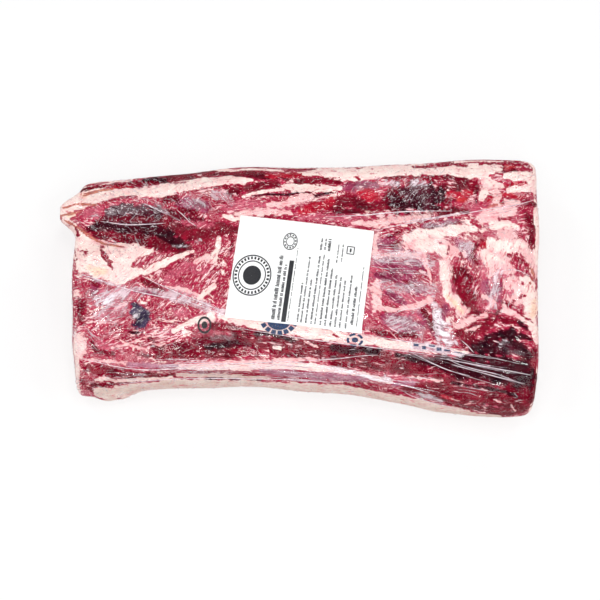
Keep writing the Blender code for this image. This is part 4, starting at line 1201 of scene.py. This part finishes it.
class Skin:
    """Finds the film's surface under places of the chart."""

    def __init__(self, points, normals):
        """Notes for every whole place of the chart the nearest grid point that faces the view."""
        self.points, self.normals = points, normals
        self.places = chart(points)
        rings, count = points.shape[:2]
        facing = np.argwhere(normals @ VIEW_DIRECTION > 0.05)
        cell = np.clip(np.round(self.places[facing[:, 0], facing[:, 1]]).astype(int), 0, VIEW_SIZE - 1)
        table = np.full((VIEW_SIZE, VIEW_SIZE), -1)
        table[cell[:, 1], cell[:, 0]] = facing[:, 0] * count + facing[:, 1]
        for _ in range(6):
            for axis in (0, 1):
                for step in (1, -1):
                    table = np.where(table < 0, np.roll(table, step, axis=axis), table)
        self.table, self.rings, self.count = table, rings, count

    def sample(self, field, ring, point):
        """Value of a grid field at fractional places, blended between four grid points."""
        low_ring = np.clip(np.floor(ring).astype(int), 0, self.rings - 2)
        low_point = np.floor(point).astype(int)
        a, b = (ring - low_ring)[..., None], (point - low_point)[..., None]
        low_point, high_point = low_point % self.count, (low_point + 1) % self.count
        near = field[low_ring, low_point] * (1 - b) + field[low_ring, high_point] * b
        far = field[low_ring + 1, low_point] * (1 - b) + field[low_ring + 1, high_point] * b
        return near * (1 - a) + far * a

    def at(self, wanted):
        """Points and normals of the film at places of the chart, by three steps of Newton's method."""
        wanted = np.asarray(wanted, dtype=float)
        cell = np.clip(np.round(wanted).astype(int), 0, VIEW_SIZE - 1)
        index = np.maximum(self.table[cell[..., 1], cell[..., 0]], 0)
        ring, point = (index // self.count).astype(float), (index % self.count).astype(float)
        for _ in range(3):
            here = self.sample(self.places, ring, point)
            before, after = (self.sample(self.places, ring + half, point) for half in (-0.5, 0.5))
            by_ring = after - before
            before, after = (self.sample(self.places, ring, point + half) for half in (-0.5, 0.5))
            by_point = after - before
            gap = wanted - here
            area = cross_product(by_ring, by_point)
            area = np.where(np.abs(area) < 1e-6, 1e-6, area)
            ring = ring + np.clip(cross_product(gap, by_point) / area, -2, 2)
            point = point + np.clip(cross_product(by_ring, gap) / area, -2, 2)
            ring = np.clip(ring, 1.0, self.rings - 2.0)
        return self.sample(self.points, ring, point), unit(self.sample(self.normals, ring, point))


def smooth_path(path, step):
    """Points a step apart on a cubic curve through a path's points."""
    path = np.array(path, dtype=float)
    run = np.concatenate([[0.0], np.cumsum(np.linalg.norm(np.diff(path, axis=0), axis=1))])
    where = np.linspace(0.0, run[-1], max(int(run[-1] / step) + 1, 5))
    columns = [smooth_curve(where, np.stack([run, column], axis=1)) for column in path.T]
    return np.stack(columns, axis=1)


# A fold's closed outline: across it from -1 to 1, and up it as a share of its height.
FOLD_OUTLINE = np.array([(-1.0, -0.35), (0.0, -0.45), (1.0, -0.35), (0.55, 0.62), (0.0, 1.0), (-0.55, 0.62)])


def fold_strips(centres, normals, half_widths, heights):
    """Points of many folds of equal length: the outline carried along each line and tapered to its ends.

    centres and normals are (folds, steps, 3); half widths and heights are (folds,).
    """
    steps = centres.shape[1]
    along = unit(np.gradient(centres, axis=1))
    side = unit(np.cross(along, normals))
    taper = np.sin(np.linspace(0.04, 1.0 - 0.04, steps) * np.pi)[None, :, None] ** 0.6
    across = half_widths[:, None, None] * taper * FOLD_OUTLINE[:, 0]
    up = heights[:, None, None] * taper * FOLD_OUTLINE[:, 1]
    return centres[:, :, None] + side[:, :, None] * across[..., None] + normals[:, :, None] * up[..., None]


def fold_faces(folds, steps):
    """Quads round each fold and the two faces that close its ends, as one array of quads."""
    count = len(FOLD_OUTLINE)
    fold, step, corner = np.meshgrid(np.arange(folds), np.arange(steps - 1), np.arange(count), indexing="ij")
    base = (fold * steps + step) * count
    after = (corner + 1) % count
    walls = np.stack([base + count + corner, base + count + after, base + after, base + corner], axis=-1)
    start = np.arange(folds)[:, None] * steps * count
    end = start + (steps - 1) * count
    closing = [start + np.array([[3, 4, 5, 0]]), start + np.array([[1, 2, 3, 0]])]
    closing += [end + np.array([[5, 4, 3, 0]]), end + np.array([[3, 2, 1, 0]])]
    return np.concatenate([walls.reshape(-1, 4)] + closing)


def slab(tops, bottoms):
    """Points and quads of a thin closed slab between two grids of points."""
    rows, columns = tops.shape[:2]
    under = rows * columns
    index = np.arange(under).reshape(rows, columns)
    corner, after = index[:-1, :-1], index[1:, :-1]
    upper = np.stack([corner, after, after + 1, corner + 1], axis=-1).reshape(-1, 4)
    lower = upper[:, [0, 3, 2, 1]] + under
    sides = (index[:, 0], index[::-1, -1], index[0, ::-1], index[-1])
    walls = [np.stack([side[:-1], side[:-1] + under, side[1:] + under, side[1:]], axis=-1) for side in sides]
    points = np.concatenate([tops.reshape(-1, 3), bottoms.reshape(-1, 3)])
    return points, np.concatenate([upper, lower] + walls)


def oval_places(centre, radii, band, start, end, steps):
    """Two grids of places round an oval, between two shares of its radii."""
    angle, share = np.meshgrid(np.linspace(start, end, steps), np.array(band), indexing="ij")
    return centre[0] + radii[0] * share * np.cos(angle), centre[1] + radii[1] * share * np.sin(angle)


def join_slabs(name, slabs):
    """One mesh of many slabs."""
    points, quads, start = [], [], 0
    for slab_points, slab_quads in slabs:
        points.append(slab_points)
        quads.append(slab_quads + start)
        start += len(slab_points)
    mesh = build_mesh(name, np.concatenate(points), np.concatenate(quads))
    mesh.set_sharp_from_angle(angle=np.radians(40.0))
    return mesh


class Socket:
    """One output of a material's nodes. Arithmetic on it adds Math nodes."""

    def __init__(self, graph, socket):
        self.graph, self.socket = graph, socket

    def math(self, operation, *values):
        inputs = dict(enumerate(values))
        return self.graph.node("ShaderNodeMath", {"operation": operation}, inputs)

    def __add__(self, other):
        return self.math("ADD", self, other)

    def __sub__(self, other):
        return self.math("SUBTRACT", self, other)

    def __rsub__(self, other):
        return self.math("SUBTRACT", other, self)

    def __mul__(self, other):
        return self.math("MULTIPLY", self, other)

    def __pow__(self, other):
        return self.math("POWER", self, other)

    def __abs__(self):
        return self.math("ABSOLUTE", self)

    def clamp(self):
        return self.graph.node("ShaderNodeClamp", {}, {0: self})

    def step(self, low, high):
        """0 where this is low, 1 where it is high, and a smooth rise between."""
        smooth = {"interpolation_type": "SMOOTHSTEP"}
        return self.graph.node("ShaderNodeMapRange", smooth, {0: self, 1: low, 2: high})

    __radd__ = __add__
    __rmul__ = __mul__


class Graph:
    """A material's node tree, cleared."""

    def __init__(self, name):
        self.material = bpy.data.materials.new(name)
        self.material.use_nodes = True
        self.tree = self.material.node_tree
        self.tree.nodes.clear()

    def node(self, kind, settings, inputs, output=0):
        """A node of a kind: its settings, then the values or links of its inputs; returns an output."""
        made = self.tree.nodes.new(kind)
        for name, value in settings.items():
            setattr(made, name, value)
        for name, value in inputs.items():
            if isinstance(value, Socket):
                self.tree.links.new(value.socket, made.inputs[name])
            else:
                made.inputs[name].default_value = value
        return Socket(self, made.outputs[output])

    def value(self, name):
        """A number carried by the mesh."""
        return self.node("ShaderNodeAttribute", {"attribute_name": name}, {}, "Fac")

    def vector(self, name):
        """A vector carried by the mesh."""
        return self.node("ShaderNodeAttribute", {"attribute_name": name}, {}, "Vector")

    def colour(self, name):
        """A colour carried by the mesh."""
        return self.node("ShaderNodeAttribute", {"attribute_name": name}, {}, "Color")

    def places(self):
        """Object coordinates."""
        return self.node("ShaderNodeTexCoord", {}, {}, "Object")

    def noise(self, vector, scale, detail, roughness, distortion):
        """Noise from 0 to 1."""
        inputs = {"Vector": vector, "Scale": scale, "Detail": detail, "Roughness": roughness}
        return self.node("ShaderNodeTexNoise", {}, {**inputs, "Distortion": distortion}, "Fac")

    def drawn(self, vector, name):
        """A named noise drawn out along the fibres or the pull."""
        scale, offset, detail, roughness, distortion = DRAWN_NOISES[name]
        moved = {"Vector": vector, "Scale": scale, "Location": offset}
        stretched = self.node("ShaderNodeMapping", {}, moved)
        return self.noise(stretched, 1.0, detail, roughness, distortion)

    def even(self, name):
        """A named noise that is even in all directions."""
        return self.noise(self.places(), *EVEN_NOISES[name], 0.0)

    def surface(self, colour, roughness, specular, normal=None):
        """A principled surface."""
        inputs = {"Base Color": colour, "Roughness": roughness, "Specular IOR Level": specular}
        if normal:
            inputs["Normal"] = normal
        return self.node("ShaderNodeBsdfPrincipled", {}, inputs)

    def clear(self):
        """A surface that lets all light through."""
        return self.node("ShaderNodeBsdfTransparent", {}, {"Color": WHITE})

    def layers(self, share, under, over):
        """One shader over another, by a share."""
        return self.node("ShaderNodeMixShader", {}, {0: share, 1: under, 2: over})

    def blend(self, share, first, second, kind="MIX"):
        """Mix of two colours."""
        inputs = {0: share, 6: rgba(first), 7: rgba(second)}
        return self.node("ShaderNodeMix", {"data_type": "RGBA", "blend_type": kind}, inputs, 2)

    def tinted(self, share, first, second):
        """The first colour multiplied by the second, by a share."""
        return self.blend(share, first, second, "MULTIPLY")

    def bump(self, height, distance, strength):
        """A normal tilted by a height."""
        return self.node("ShaderNodeBump", {}, {"Height": height, "Distance": distance, "Strength": strength})

    def output(self, shader):
        """Ends the tree."""
        end = self.tree.nodes.new("ShaderNodeOutputMaterial")
        self.tree.links.new(shader.socket, end.inputs["Surface"])
        return self.material


def rgba(colour):
    """A colour with full alpha, or a socket as it is."""
    return colour if isinstance(colour, Socket) else (*colour[:3], 1.0)


def beef_material():
    """Raw beef: lean with fine fibres and flecks of fat, and fat whose edge with the lean is ragged."""
    settings = bpy.context.scene.striploin_beef
    g = Graph("raw_marbled_beef")
    flesh, suet, fat, lean = g.colour("flesh"), g.colour("suet"), g.value("fat"), g.value("lean")
    grain = g.vector("grain")
    fibre, fleck, speck = g.drawn(grain, "fibre"), g.drawn(grain, "fleck"), g.drawn(grain, "speck")
    cover = (fat + (g.drawn(grain, "edge") - 0.5) * 1.25).step(0.34, 0.64)
    amount = g.drawn(grain, "patchy").step(0.30, 0.62)
    rarer = (lean - FULL_LEAN) * 0.13
    large = (fleck + (amount - 0.5) * 0.12 + rarer).step(0.602, 0.640) * 0.88
    small = (speck + rarer).step(0.605, 0.65) * 0.60
    shade = fibre.step(0.30, 0.62)
    darker = g.tinted((1.0 - shade) * 0.70, flesh, FIBRE_TINT)
    pitted = g.tinted((1.0 - speck.step(0.37, 0.43)) * 0.75, darker, PIT_TINT)
    marbled = g.blend((large + small).clamp(), pitted, settings.fleck_colour)
    blush = g.tinted(g.drawn(grain, "tint").step(0.45, 0.64) * 0.58, suet, BLUSH_TINT)
    streaked = g.tinted(g.drawn(grain, "sinew").step(0.50, 0.64) * 0.45, blush, SINEW_TINT)
    stained = g.blend(g.drawn(grain, "smear").step(0.555, 0.64) * 0.75, streaked, STAIN_COLOUR)
    final = g.blend(cover, marbled, stained)
    height = fibre * 0.5 + fleck * 0.8 + g.even("fine") * 0.25 + cover * 0.5
    return g.output(g.surface(final, settings.roughness, 0.0, g.bump(height, *BEEF_BUMP)))


def film_material(name, ridge, gloss):
    """Clear film: a glossy skin over nothing, milky where it is hazy or where sheen is painted, and with
    painted white glint lines and specks where it is crinkled.
    """
    settings = bpy.context.scene.striploin_film
    g = Graph(name)
    pull, crinkle, haze = g.vector("pull"), g.value("crinkle"), g.value("milk_and_sheen")
    # The thin lines feed the bump and also paint white glint lines; with the sparkle specks they are painted
    # glints where light would catch the crinkled film.
    line = (1.0 - abs(g.drawn(pull, "streak") - 0.5) * LINE_SHARPNESS).clamp()
    second = (1.0 - abs(g.drawn(pull, "thread") - 0.5) * THREAD_SHARPNESS).clamp()
    lines = (line * 0.95 + second * 0.75) * g.even("cloud").step(0.52, 0.58) * crinkle
    white = lines + g.even("sparkle").step(0.65, 0.69) * crinkle * 0.9
    # The milky share holds real haze and painted sheen.
    share = haze * (0.30 + 0.85 * g.drawn(pull, "mottle").step(0.44, 0.58)) + white + ridge
    normal = g.bump((line + second * 0.6) * crinkle, *FILM_BUMP)
    # The body is the painted glint white along the glints and the haze colour elsewhere.
    body = g.surface(g.blend(white.clamp(), settings.tint, PAINTED_GLINT_COLOUR), 0.5, 0.3)
    hazy = g.layers(share.clamp(), g.clear(), body)
    finish = {"Color": WHITE, "Roughness": settings.roughness, "Normal": normal}
    skin = g.node("ShaderNodeBsdfAnisotropic", {}, finish)
    facing = g.node("ShaderNodeLayerWeight", {}, {"Blend": 0.5, "Normal": normal}, "Facing")
    return g.output(g.layers(facing**5.0 * GRAZING_GLOSS + gloss, hazy, skin))


def paper_material():
    """Coated white paper with faint soft waves and a fine tooth, greyed by painted shade along the waves."""
    g = Graph("coated_label_paper")
    wave = g.even("wave")
    colour = g.blend(wave * 0.30, bpy.context.scene.striploin_label.paper, PAPER_SHADE)
    return g.output(g.surface(colour, 0.5, 0.4, g.bump(g.even("tooth") * 0.2 + wave, *PAPER_BUMP)))


def ink_material(name, colour, cover):
    """Printed ink: a flat colour that breaks up in fine specks, see-through by its cover."""
    g = Graph(name)
    worn = g.even("worn")
    tone = g.blend(worn.step(0.35, 0.75) * 0.35, colour, tuple(part * 2.0 + 0.015 for part in colour))
    ink = g.surface(tone, 0.42, 0.35)
    if cover < 1.0:
        ink = g.layers(worn.step(0.20, 0.55) * cover, g.clear(), ink)
    return g.output(ink)


class STRIPLOIN_OT_beef(bpy.types.Operator):
    """Make the beef: a closed loft with fine relief and painted tissues"""

    bl_idname = "striploin.beef"
    bl_label = "Beef"

    def execute(self, context):
        straight, end, cap, count = BEEF_GRID
        x, scale = rings_along(straight, end, cap)
        grid = np.broadcast_arrays(x[:, None], turns_round(count)[None, :], scale[:, None])
        surface = pack_surface(*grid)
        points, normals = surface.reshape(-1, 3), grid_normals(surface).reshape(-1, 3)
        tissue, grain = beef_paint(points, normals)
        fine = value_noise(points, 0.0030, 51) + 0.5 * value_noise(points, 0.0015, 52)
        fibre = value_noise(grain * (0.12, 0.55, 0.4), 1.0, 53)
        rough = 0.6 * fine + 0.5 * fibre * tissue.lean
        rise = tissue.height * 0.5 * MM + context.scene.striploin_beef.relief * rough
        rise = np.minimum(rise, BEEF_RISE) - BEEF_SINK
        label = (normals[:, 2] > 0.5) * (1.0 - beside_label(points[:, 0], points[:, 1]))
        rise = rise * (1.0 - label) - BEEF_LABEL_SINK * label
        points = points + normals * rise[:, None]
        points[:, 2] = np.maximum(points[:, 2], BEEF_FOOT)
        mesh = loft_mesh("striploin_beef", points.reshape(surface.shape))
        for name in ("flesh", "suet", "fat", "lean"):
            set_attribute(mesh, name, getattr(tissue, name))
        set_attribute(mesh, "grain", grain)
        place_piece("striploin_beef", mesh, beef_material(), "vacuum_bag")
        return {"FINISHED"}


class STRIPLOIN_OT_film(bpy.types.Operator):
    """Make the clear film with its folds and wrinkles"""

    bl_idname = "striploin.film"
    bl_label = "Film"

    def execute(self, context):
        points, normals, milk_and_sheen, crinkle, pull = film_surface()
        mesh = loft_mesh("bag_film", points)
        for name, values in (("milk_and_sheen", milk_and_sheen), ("crinkle", crinkle), ("pull", pull)):
            set_attribute(mesh, name, values)
        clear = film_material("clear_shrink_film", 0.0, FILM_GLOSS)
        place_piece("bag_film", mesh, clear, "vacuum_bag")
        skin = Skin(points, normals)
        fold_material = film_material("folded_film", 0.02, FOLD_GLOSS)
        self.make_creases(skin, fold_material)
        self.make_wrinkles(skin, points, normals, crinkle, pull, fold_material)
        self.make_marks(skin)
        return {"FINISHED"}

    def make_creases(self, skin, material):
        """Long folds: the named creases and the sheaves between two lines each."""
        random = np.random.default_rng(SHEAF_SEED)
        lines = []
        # Each fold carries a milkiness that paints its white sheen.
        for path, width, height in CREASES:
            lines.append((smooth_path(np.reshape(path, (-1, 2)), FOLD_STEP), width, height, CREASE_MILK_AND_SHEEN))
        for first_start, first_end, last_start, last_end, count, width, height, haze in SHEAVES:
            for share in (np.arange(count) + random.uniform(-0.3, 0.3, count)) / max(count - 1, 1):
                start = np.array(first_start) + share * (np.array(last_start) - first_start)
                end = np.array(first_end) + share * (np.array(last_end) - first_end)
                cut = np.sort(random.uniform(0.0, SHEAF_CUT, 2))
                run = end - start
                start, end = start + run * cut[0], end - run * (SHEAF_CUT - cut[1])
                bend = random.uniform(-SHEAF_JITTER, SHEAF_JITTER, 2)
                middle = (start + end) / 2 + bend
                size = random.uniform(*SHEAF_SIZES)
                line = smooth_path((start, middle, end), FOLD_STEP)
                lines.append((line, width * size, height * size, haze))
        parts = []
        for line, width, height, _ in lines:
            centres, normals = skin.at(line)
            strip = fold_strips(centres[None], normals[None], np.array([width * MM]), np.array([height * MM]))
            parts.append((strip.reshape(-1, 3), fold_faces(1, len(line))))
        mesh = join_slabs("film_folds", parts)
        self.carry_pull(mesh, np.repeat([line[3] for line in lines], [len(points) for points, _ in parts]))
        place_piece("film_folds", mesh, material)

    def make_wrinkles(self, skin, points, normals, crinkle, pull, material):
        """Short wrinkles at random grid points, more of them where the film is crinkled."""
        random = np.random.default_rng(WRINKLE_SEED)
        weight = (crinkle**2).reshape(points.shape[:2]) * (normals @ VIEW_DIRECTION > 0.12)
        weight = weight * (beside_label(points[..., 0], points[..., 1]) > 0.5)
        weight[:FILM_GRID[2] + 2] = 0.0
        weight[-FILM_GRID[2] - 2 :] = 0.0
        chosen = random.choice(weight.size, WRINKLE_COUNT, replace=False, p=weight.ravel() / weight.sum())
        middle = chart(points.reshape(-1, 3)[chosen])
        nearest = nearest_region(points.reshape(-1, 3)[chosen], middle, PULLS)
        turned = random.normal(0.0, WRINKLE_SPREAD, WRINKLE_COUNT)
        angle = np.radians(np.array([region[2] for region in PULLS])[nearest] + turned)
        length = random.uniform(*WRINKLE_LENGTH, WRINKLE_COUNT) * MM / VIEW_PIXEL
        steps = np.linspace(-0.5, 0.5, WRINKLE_STEPS)
        reach = (steps[None] * length[:, None])[..., None]
        way = np.stack([np.cos(angle), -np.sin(angle)], axis=-1)[:, None]
        bend = random.uniform(-0.5, 0.5, WRINKLE_COUNT)[:, None, None] * (steps**2)[None, :, None]
        places = middle[:, None] + reach * way + bend * way[..., ::-1] * (1.0, -1.0)
        centres, skin_normals = skin.at(places)
        widths = random.uniform(*WRINKLE_HALF_WIDTH, WRINKLE_COUNT) * MM
        heights = np.full(WRINKLE_COUNT, WRINKLE_HEIGHT * MM)
        strips = fold_strips(centres, skin_normals, widths, heights)
        mesh = build_mesh("film_wrinkles", strips.reshape(-1, 3), fold_faces(WRINKLE_COUNT, len(steps)))
        self.carry_pull(mesh, np.full(len(mesh.vertices), WRINKLE_MILK_AND_SHEEN))
        place_piece("film_wrinkles", mesh, material)

    def carry_pull(self, mesh, milk_and_sheen):
        """Gives folds the milkiness, which paints their white sheen, and the pull and crinkle that the film's
        material reads.
        """
        points = np.zeros(len(mesh.vertices) * 3, dtype=np.float32)
        mesh.vertices.foreach_get("co", points)
        points = points.reshape(-1, 3).astype(float)
        nearest = nearest_region(points, chart(points), PULLS)
        set_attribute(mesh, "pull", grain_places(points, nearest, PULLS))
        set_attribute(mesh, "crinkle", np.full(len(points), FOLD_CRINKLE))
        set_attribute(mesh, "milk_and_sheen", milk_and_sheen)

    def make_marks(self, skin):
        """Plain rings, dashes and bars where the film is printed."""
        settings = bpy.context.scene.striploin_label

        def on_film(column, row):
            points, normals = skin.at(np.stack([column, row], axis=-1))
            tops = points + normals * (MARK_LIFT + INK_THICKNESS)
            return slab(tops, points + normals * MARK_LIFT * MARK_FOOT)

        def arc(centre, radii, band, start, end, steps):
            return on_film(*oval_places(centre, radii, band, start, end, steps))

        def dashes(centre, radii, band, count, start, spread, length):
            starts = [start + k * spread / count for k in range(count)]
            return [arc(centre, radii, band, first, first + length, 8) for first in starts]

        dark = [arc(DARK_MARK_CENTRE, DARK_MARK_RADII, DARK_MARK_BAND, 0.0, 2 * np.pi, 40)]
        dark.append(arc(DARK_MARK_CENTRE, DARK_MARK_RADII, (DISC_EYE, DARK_MARK_DISC), 0.0, 2 * np.pi, 28))
        ink = ink_material("dark_film_ink", settings.black_ink, MARK_COVER)
        place_piece("film_mark_dark", join_slabs("film_mark_dark", dark), ink)
        blue = dashes(BLUE_MARK_CENTRE, BLUE_MARK_RADII, BLUE_DASH_BAND, *BLUE_DASHES)
        blue.append(arc(BLUE_CORE_CENTRE, BLUE_CORE_RADII, (DISC_EYE, 1.0), 0.0, np.pi, 24))
        blue += dashes(SMALL_MARK_CENTRE, SMALL_MARK_RADII, SMALL_DASH_BAND, *SMALL_DASHES)
        disc = (DISC_EYE, SMALL_MARK_DISC)
        blue.append(arc(SMALL_MARK_CENTRE, SMALL_MARK_RADII, disc, 0.0, 2 * np.pi, 20))
        for column, row, length, width in BLUE_BARS:
            steps = np.linspace(-0.5, 0.5, BLUE_BAR_STEPS) * length
            long, wide = np.meshgrid(steps, np.array([0.5, -0.5]) * width, indexing="ij")
            blue.append(on_film(column + long, row + wide * -1.0 + long * BLUE_BAR_SLOPE))
        ink = ink_material("blue_film_ink", settings.blue_ink, MARK_COVER)
        place_piece("film_mark_blue", join_slabs("film_mark_blue", blue), ink)


class STRIPLOIN_OT_label(bpy.types.Operator):
    """Finish the paper label and print it with plain rings, bars and dashes"""

    bl_idname = "striploin.label"
    bl_label = "Label"

    def execute(self, context):
        settings = context.scene.striploin_label
        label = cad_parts["label"]
        label.material_slots[0].material = paper_material()
        print_parts = self.badge(BADGE_CENTRE, BADGE_RADII, BADGE_RINGS, BADGE_DASHES, BADGE_DASH_BAND)
        print_parts += self.badge(SEAL_CENTRE, SEAL_RADII, SEAL_RINGS, SEAL_DASHES, SEAL_DASH_BAND)
        core = (DISC_EYE, BADGE_CORE)
        print_parts.append(self.oval(BADGE_CENTRE, BADGE_RADII, core, 0.0, 2 * np.pi, CORE_STEPS))
        print_parts.append(self.bar(*BANNER))
        print_parts += self.block()
        print_parts.append(self.dashes())
        ink = ink_material("black_label_ink", settings.black_ink, 1.0)
        place_piece("label_print", join_slabs("label_print", print_parts), ink)
        return {"FINISHED"}

    def on_label(self, along, across):
        """Two grids over the label, the print's top and its foot, at places given in mm from its centre."""
        cos, sin = np.cos(LABEL_TURN), np.sin(LABEL_TURN)
        x = LABEL_CENTRE[0] + (along * cos - across * sin) * MM
        y = LABEL_CENTRE[1] + (along * sin + across * cos) * MM
        z = top_height(x, y) + LABEL_GAP + LABEL_THICKNESS + INK_LIFT
        lifted = np.stack([x, y, z + INK_THICKNESS], axis=-1)
        return lifted, np.stack([x, y, z - INK_THICKNESS], axis=-1)

    def oval(self, centre, radii, band, start, end, steps):
        """A band of an oval between two shares of its radii."""
        tops, bottoms = self.on_label(*oval_places(centre, radii, band, start, end, steps))
        return slab(tops[:, ::-1], bottoms[:, ::-1])

    def badge(self, centre, radii, rings, dashes, band):
        """Plain rings with a ring of dashes between them."""
        parts = [self.oval(centre, radii, ring[::-1], 0.0, 2 * np.pi, RING_STEPS) for ring in rings]
        for k in range(dashes):
            start = 2 * np.pi * k / dashes
            end = start + DASH_LENGTH / dashes
            parts.append(self.oval(centre, radii, band[::-1], start, end, DASH_STEPS))
        return parts

    def bar(self, place, width, start, end):
        """A straight bar across the label."""
        edges = place + np.array([-0.5, 0.5]) * width
        along, across = np.meshgrid(edges, np.linspace(start, end, BAR_STEPS), indexing="ij")
        return slab(*self.on_label(along, across))

    def block(self):
        """A small square frame with a bar in it."""
        (along, across), (wide, long) = BLOCK_CENTRE, BLOCK_SIZE
        parts = []
        for side in (-1, 1):
            parts.append(self.bar(along + side * wide / 2, BLOCK_LINE, across - long / 2, across + long / 2))
            rail = across + side * long / 2
            parts.append(self.bar(along, wide, rail - BLOCK_LINE / 2, rail + BLOCK_LINE / 2))
        parts.append(self.bar(along, BLOCK_BAR, across - long / 4, across + long / 4))
        return parts

    def dashes(self):
        """Rows of short upright ticks in groups, all as one set of small slabs."""
        random = np.random.default_rng(PRINT_SEED)
        centres, sizes = [], []
        for place, height, start, end in PRINT_ROWS:
            across = start
            while across < end:
                for _ in range(random.integers(2, 10)):
                    tall = height * random.uniform(0.62, 1.0)
                    centres.append((place + (height - tall) / 2, across + TICK / 2))
                    sizes.append((tall, TICK))
                    across += TICK + TICK_GAP * random.uniform(0.5, 1.5)
                    if across > end:
                        break
                across += WORD_GAP
        centres, sizes = np.array(centres)[:, None, None], np.array(sizes)[:, None, None]
        corners = np.stack(np.meshgrid([-0.5, 0.5], [-0.5, 0.5], indexing="ij"), axis=-1)[None]
        spots = centres + corners * sizes
        tops, bottoms = self.on_label(spots[..., 0], spots[..., 1])
        quads = slab(tops[0], bottoms[0])[1]
        points = np.concatenate([tops.reshape(-1, 4, 3), bottoms.reshape(-1, 4, 3)], axis=1)
        every = (quads[None] + np.arange(len(points))[:, None, None] * 8).reshape(-1, 4)
        return points.reshape(-1, 3), every


class STRIPLOIN_OT_stage(bpy.types.Operator):
    """Set up the floor, the lights, the sky and the camera"""

    bl_idname = "striploin.stage"
    bl_label = "Stage"

    def execute(self, context):
        settings = context.scene.striploin_stage
        self.make_floor(settings.floor_size)
        self.make_sky(context.scene, settings.world_strength)
        for name, azimuth, elevation, distance, size, power in LIGHTS:
            turn, rise = np.radians((azimuth, elevation))
            way = np.array([np.sin(turn) * np.cos(rise), -np.cos(turn) * np.cos(rise), np.sin(rise)])
            self.make_light(name, distance * way, size, power * settings.light)
        self.make_camera(context.scene)
        context.scene.view_settings.view_transform = "Standard"
        context.scene.view_settings.look = "None"
        return {"FINISHED"}

    def make_floor(self, size):
        """A pale floor that hardly shows the shadow."""
        g = Graph("pale_floor")
        shade = g.node("ShaderNodeBsdfDiffuse", {}, {"Color": FLOOR_COLOUR})
        glow = g.node("ShaderNodeEmission", {}, {"Color": WHITE, "Strength": FLOOR_GLOW})
        material = g.output(g.layers(FLOOR_GLOW_SHARE, shade, glow))
        half = size / 2
        corners = np.array([(-half, -half), (half, -half), (half, half), (-half, half)])
        points = np.concatenate([corners, np.full((4, 1), FLOOR_LEVEL)], axis=1)
        floor = bpy.data.objects.new("floor", build_mesh("floor", points, np.array([[0, 1, 2, 3]])))
        floor.data.materials.append(material)
        bpy.context.scene.collection.objects.link(floor)

    def make_sky(self, scene, strength):
        """An even white sky."""
        scene.world = bpy.data.worlds.new("white_sky")
        scene.world.use_nodes = True
        background = scene.world.node_tree.nodes["Background"]
        background.inputs["Color"].default_value = WHITE
        background.inputs["Strength"].default_value = strength

    def make_light(self, name, place, size, power):
        """A square light that faces the pack."""
        lamp = bpy.data.lights.new(name, "AREA")
        lamp.size = size
        lamp.energy = power
        light = bpy.data.objects.new(name, lamp)
        light.location = place
        aim = light.location.copy()
        aim.z -= VIEW_TARGET[2]
        light.rotation_euler = aim.to_track_quat("Z", "Y").to_euler()
        bpy.context.scene.collection.objects.link(light)

    def make_camera(self, scene):
        """A long lens at the chart's eye point."""
        lens = bpy.data.cameras.new("camera")
        lens.sensor_width = 36.0
        lens.lens = lens.sensor_width * VIEW_DISTANCE / (VIEW_SIZE * VIEW_PIXEL)
        lens.shift_x = (VIEW_SIZE / 2 - VIEW_MIDDLE[0]) / VIEW_SIZE
        lens.shift_y = (VIEW_MIDDLE[1] - VIEW_SIZE / 2) / VIEW_SIZE
        camera = bpy.data.objects.new("camera", lens)
        camera.location = VIEW_TARGET + VIEW_DIRECTION * VIEW_DISTANCE
        camera.rotation_euler = (np.pi / 2 - VIEW_ELEVATION, 0.0, 0.0)
        scene.collection.objects.link(camera)
        scene.camera = camera


class STRIPLOIN_PT_panel(bpy.types.Panel):
    """Sidebar panel of the striploin"""

    bl_label = "Striploin"
    bl_idname = "STRIPLOIN_PT_panel"
    bl_space_type = "VIEW_3D"
    bl_region_type = "UI"
    bl_category = "Striploin"

    def draw(self, context):
        for name, kind in SETTINGS:
            box = self.layout.box()
            group = getattr(context.scene, name)
            for key in kind.__annotations__:
                box.prop(group, key)
        for kind in OPERATORS:
            self.layout.operator(kind.bl_idname)


OPERATORS = (STRIPLOIN_OT_beef, STRIPLOIN_OT_film, STRIPLOIN_OT_label, STRIPLOIN_OT_stage)
SETTINGS = (
    ("striploin_beef", BeefSettings),
    ("striploin_film", FilmSettings),
    ("striploin_label", LabelSettings),
    ("striploin_stage", StageSettings),
)


def register():
    for name, kind in SETTINGS:
        bpy.utils.register_class(kind)
        setattr(bpy.types.Scene, name, bpy.props.PointerProperty(type=kind))
    for kind in (*OPERATORS, STRIPLOIN_PT_panel):
        bpy.utils.register_class(kind)


def unregister():
    for kind in reversed((*OPERATORS, STRIPLOIN_PT_panel)):
        bpy.utils.unregister_class(kind)
    for name, kind in reversed(SETTINGS):
        delattr(bpy.types.Scene, name)
        bpy.utils.unregister_class(kind)


def main():
    register()
    bpy.ops.striploin.beef()
    bpy.ops.striploin.film()
    bpy.ops.striploin.label()
    bpy.ops.striploin.stage()


if __name__ == "__main__":
    main()
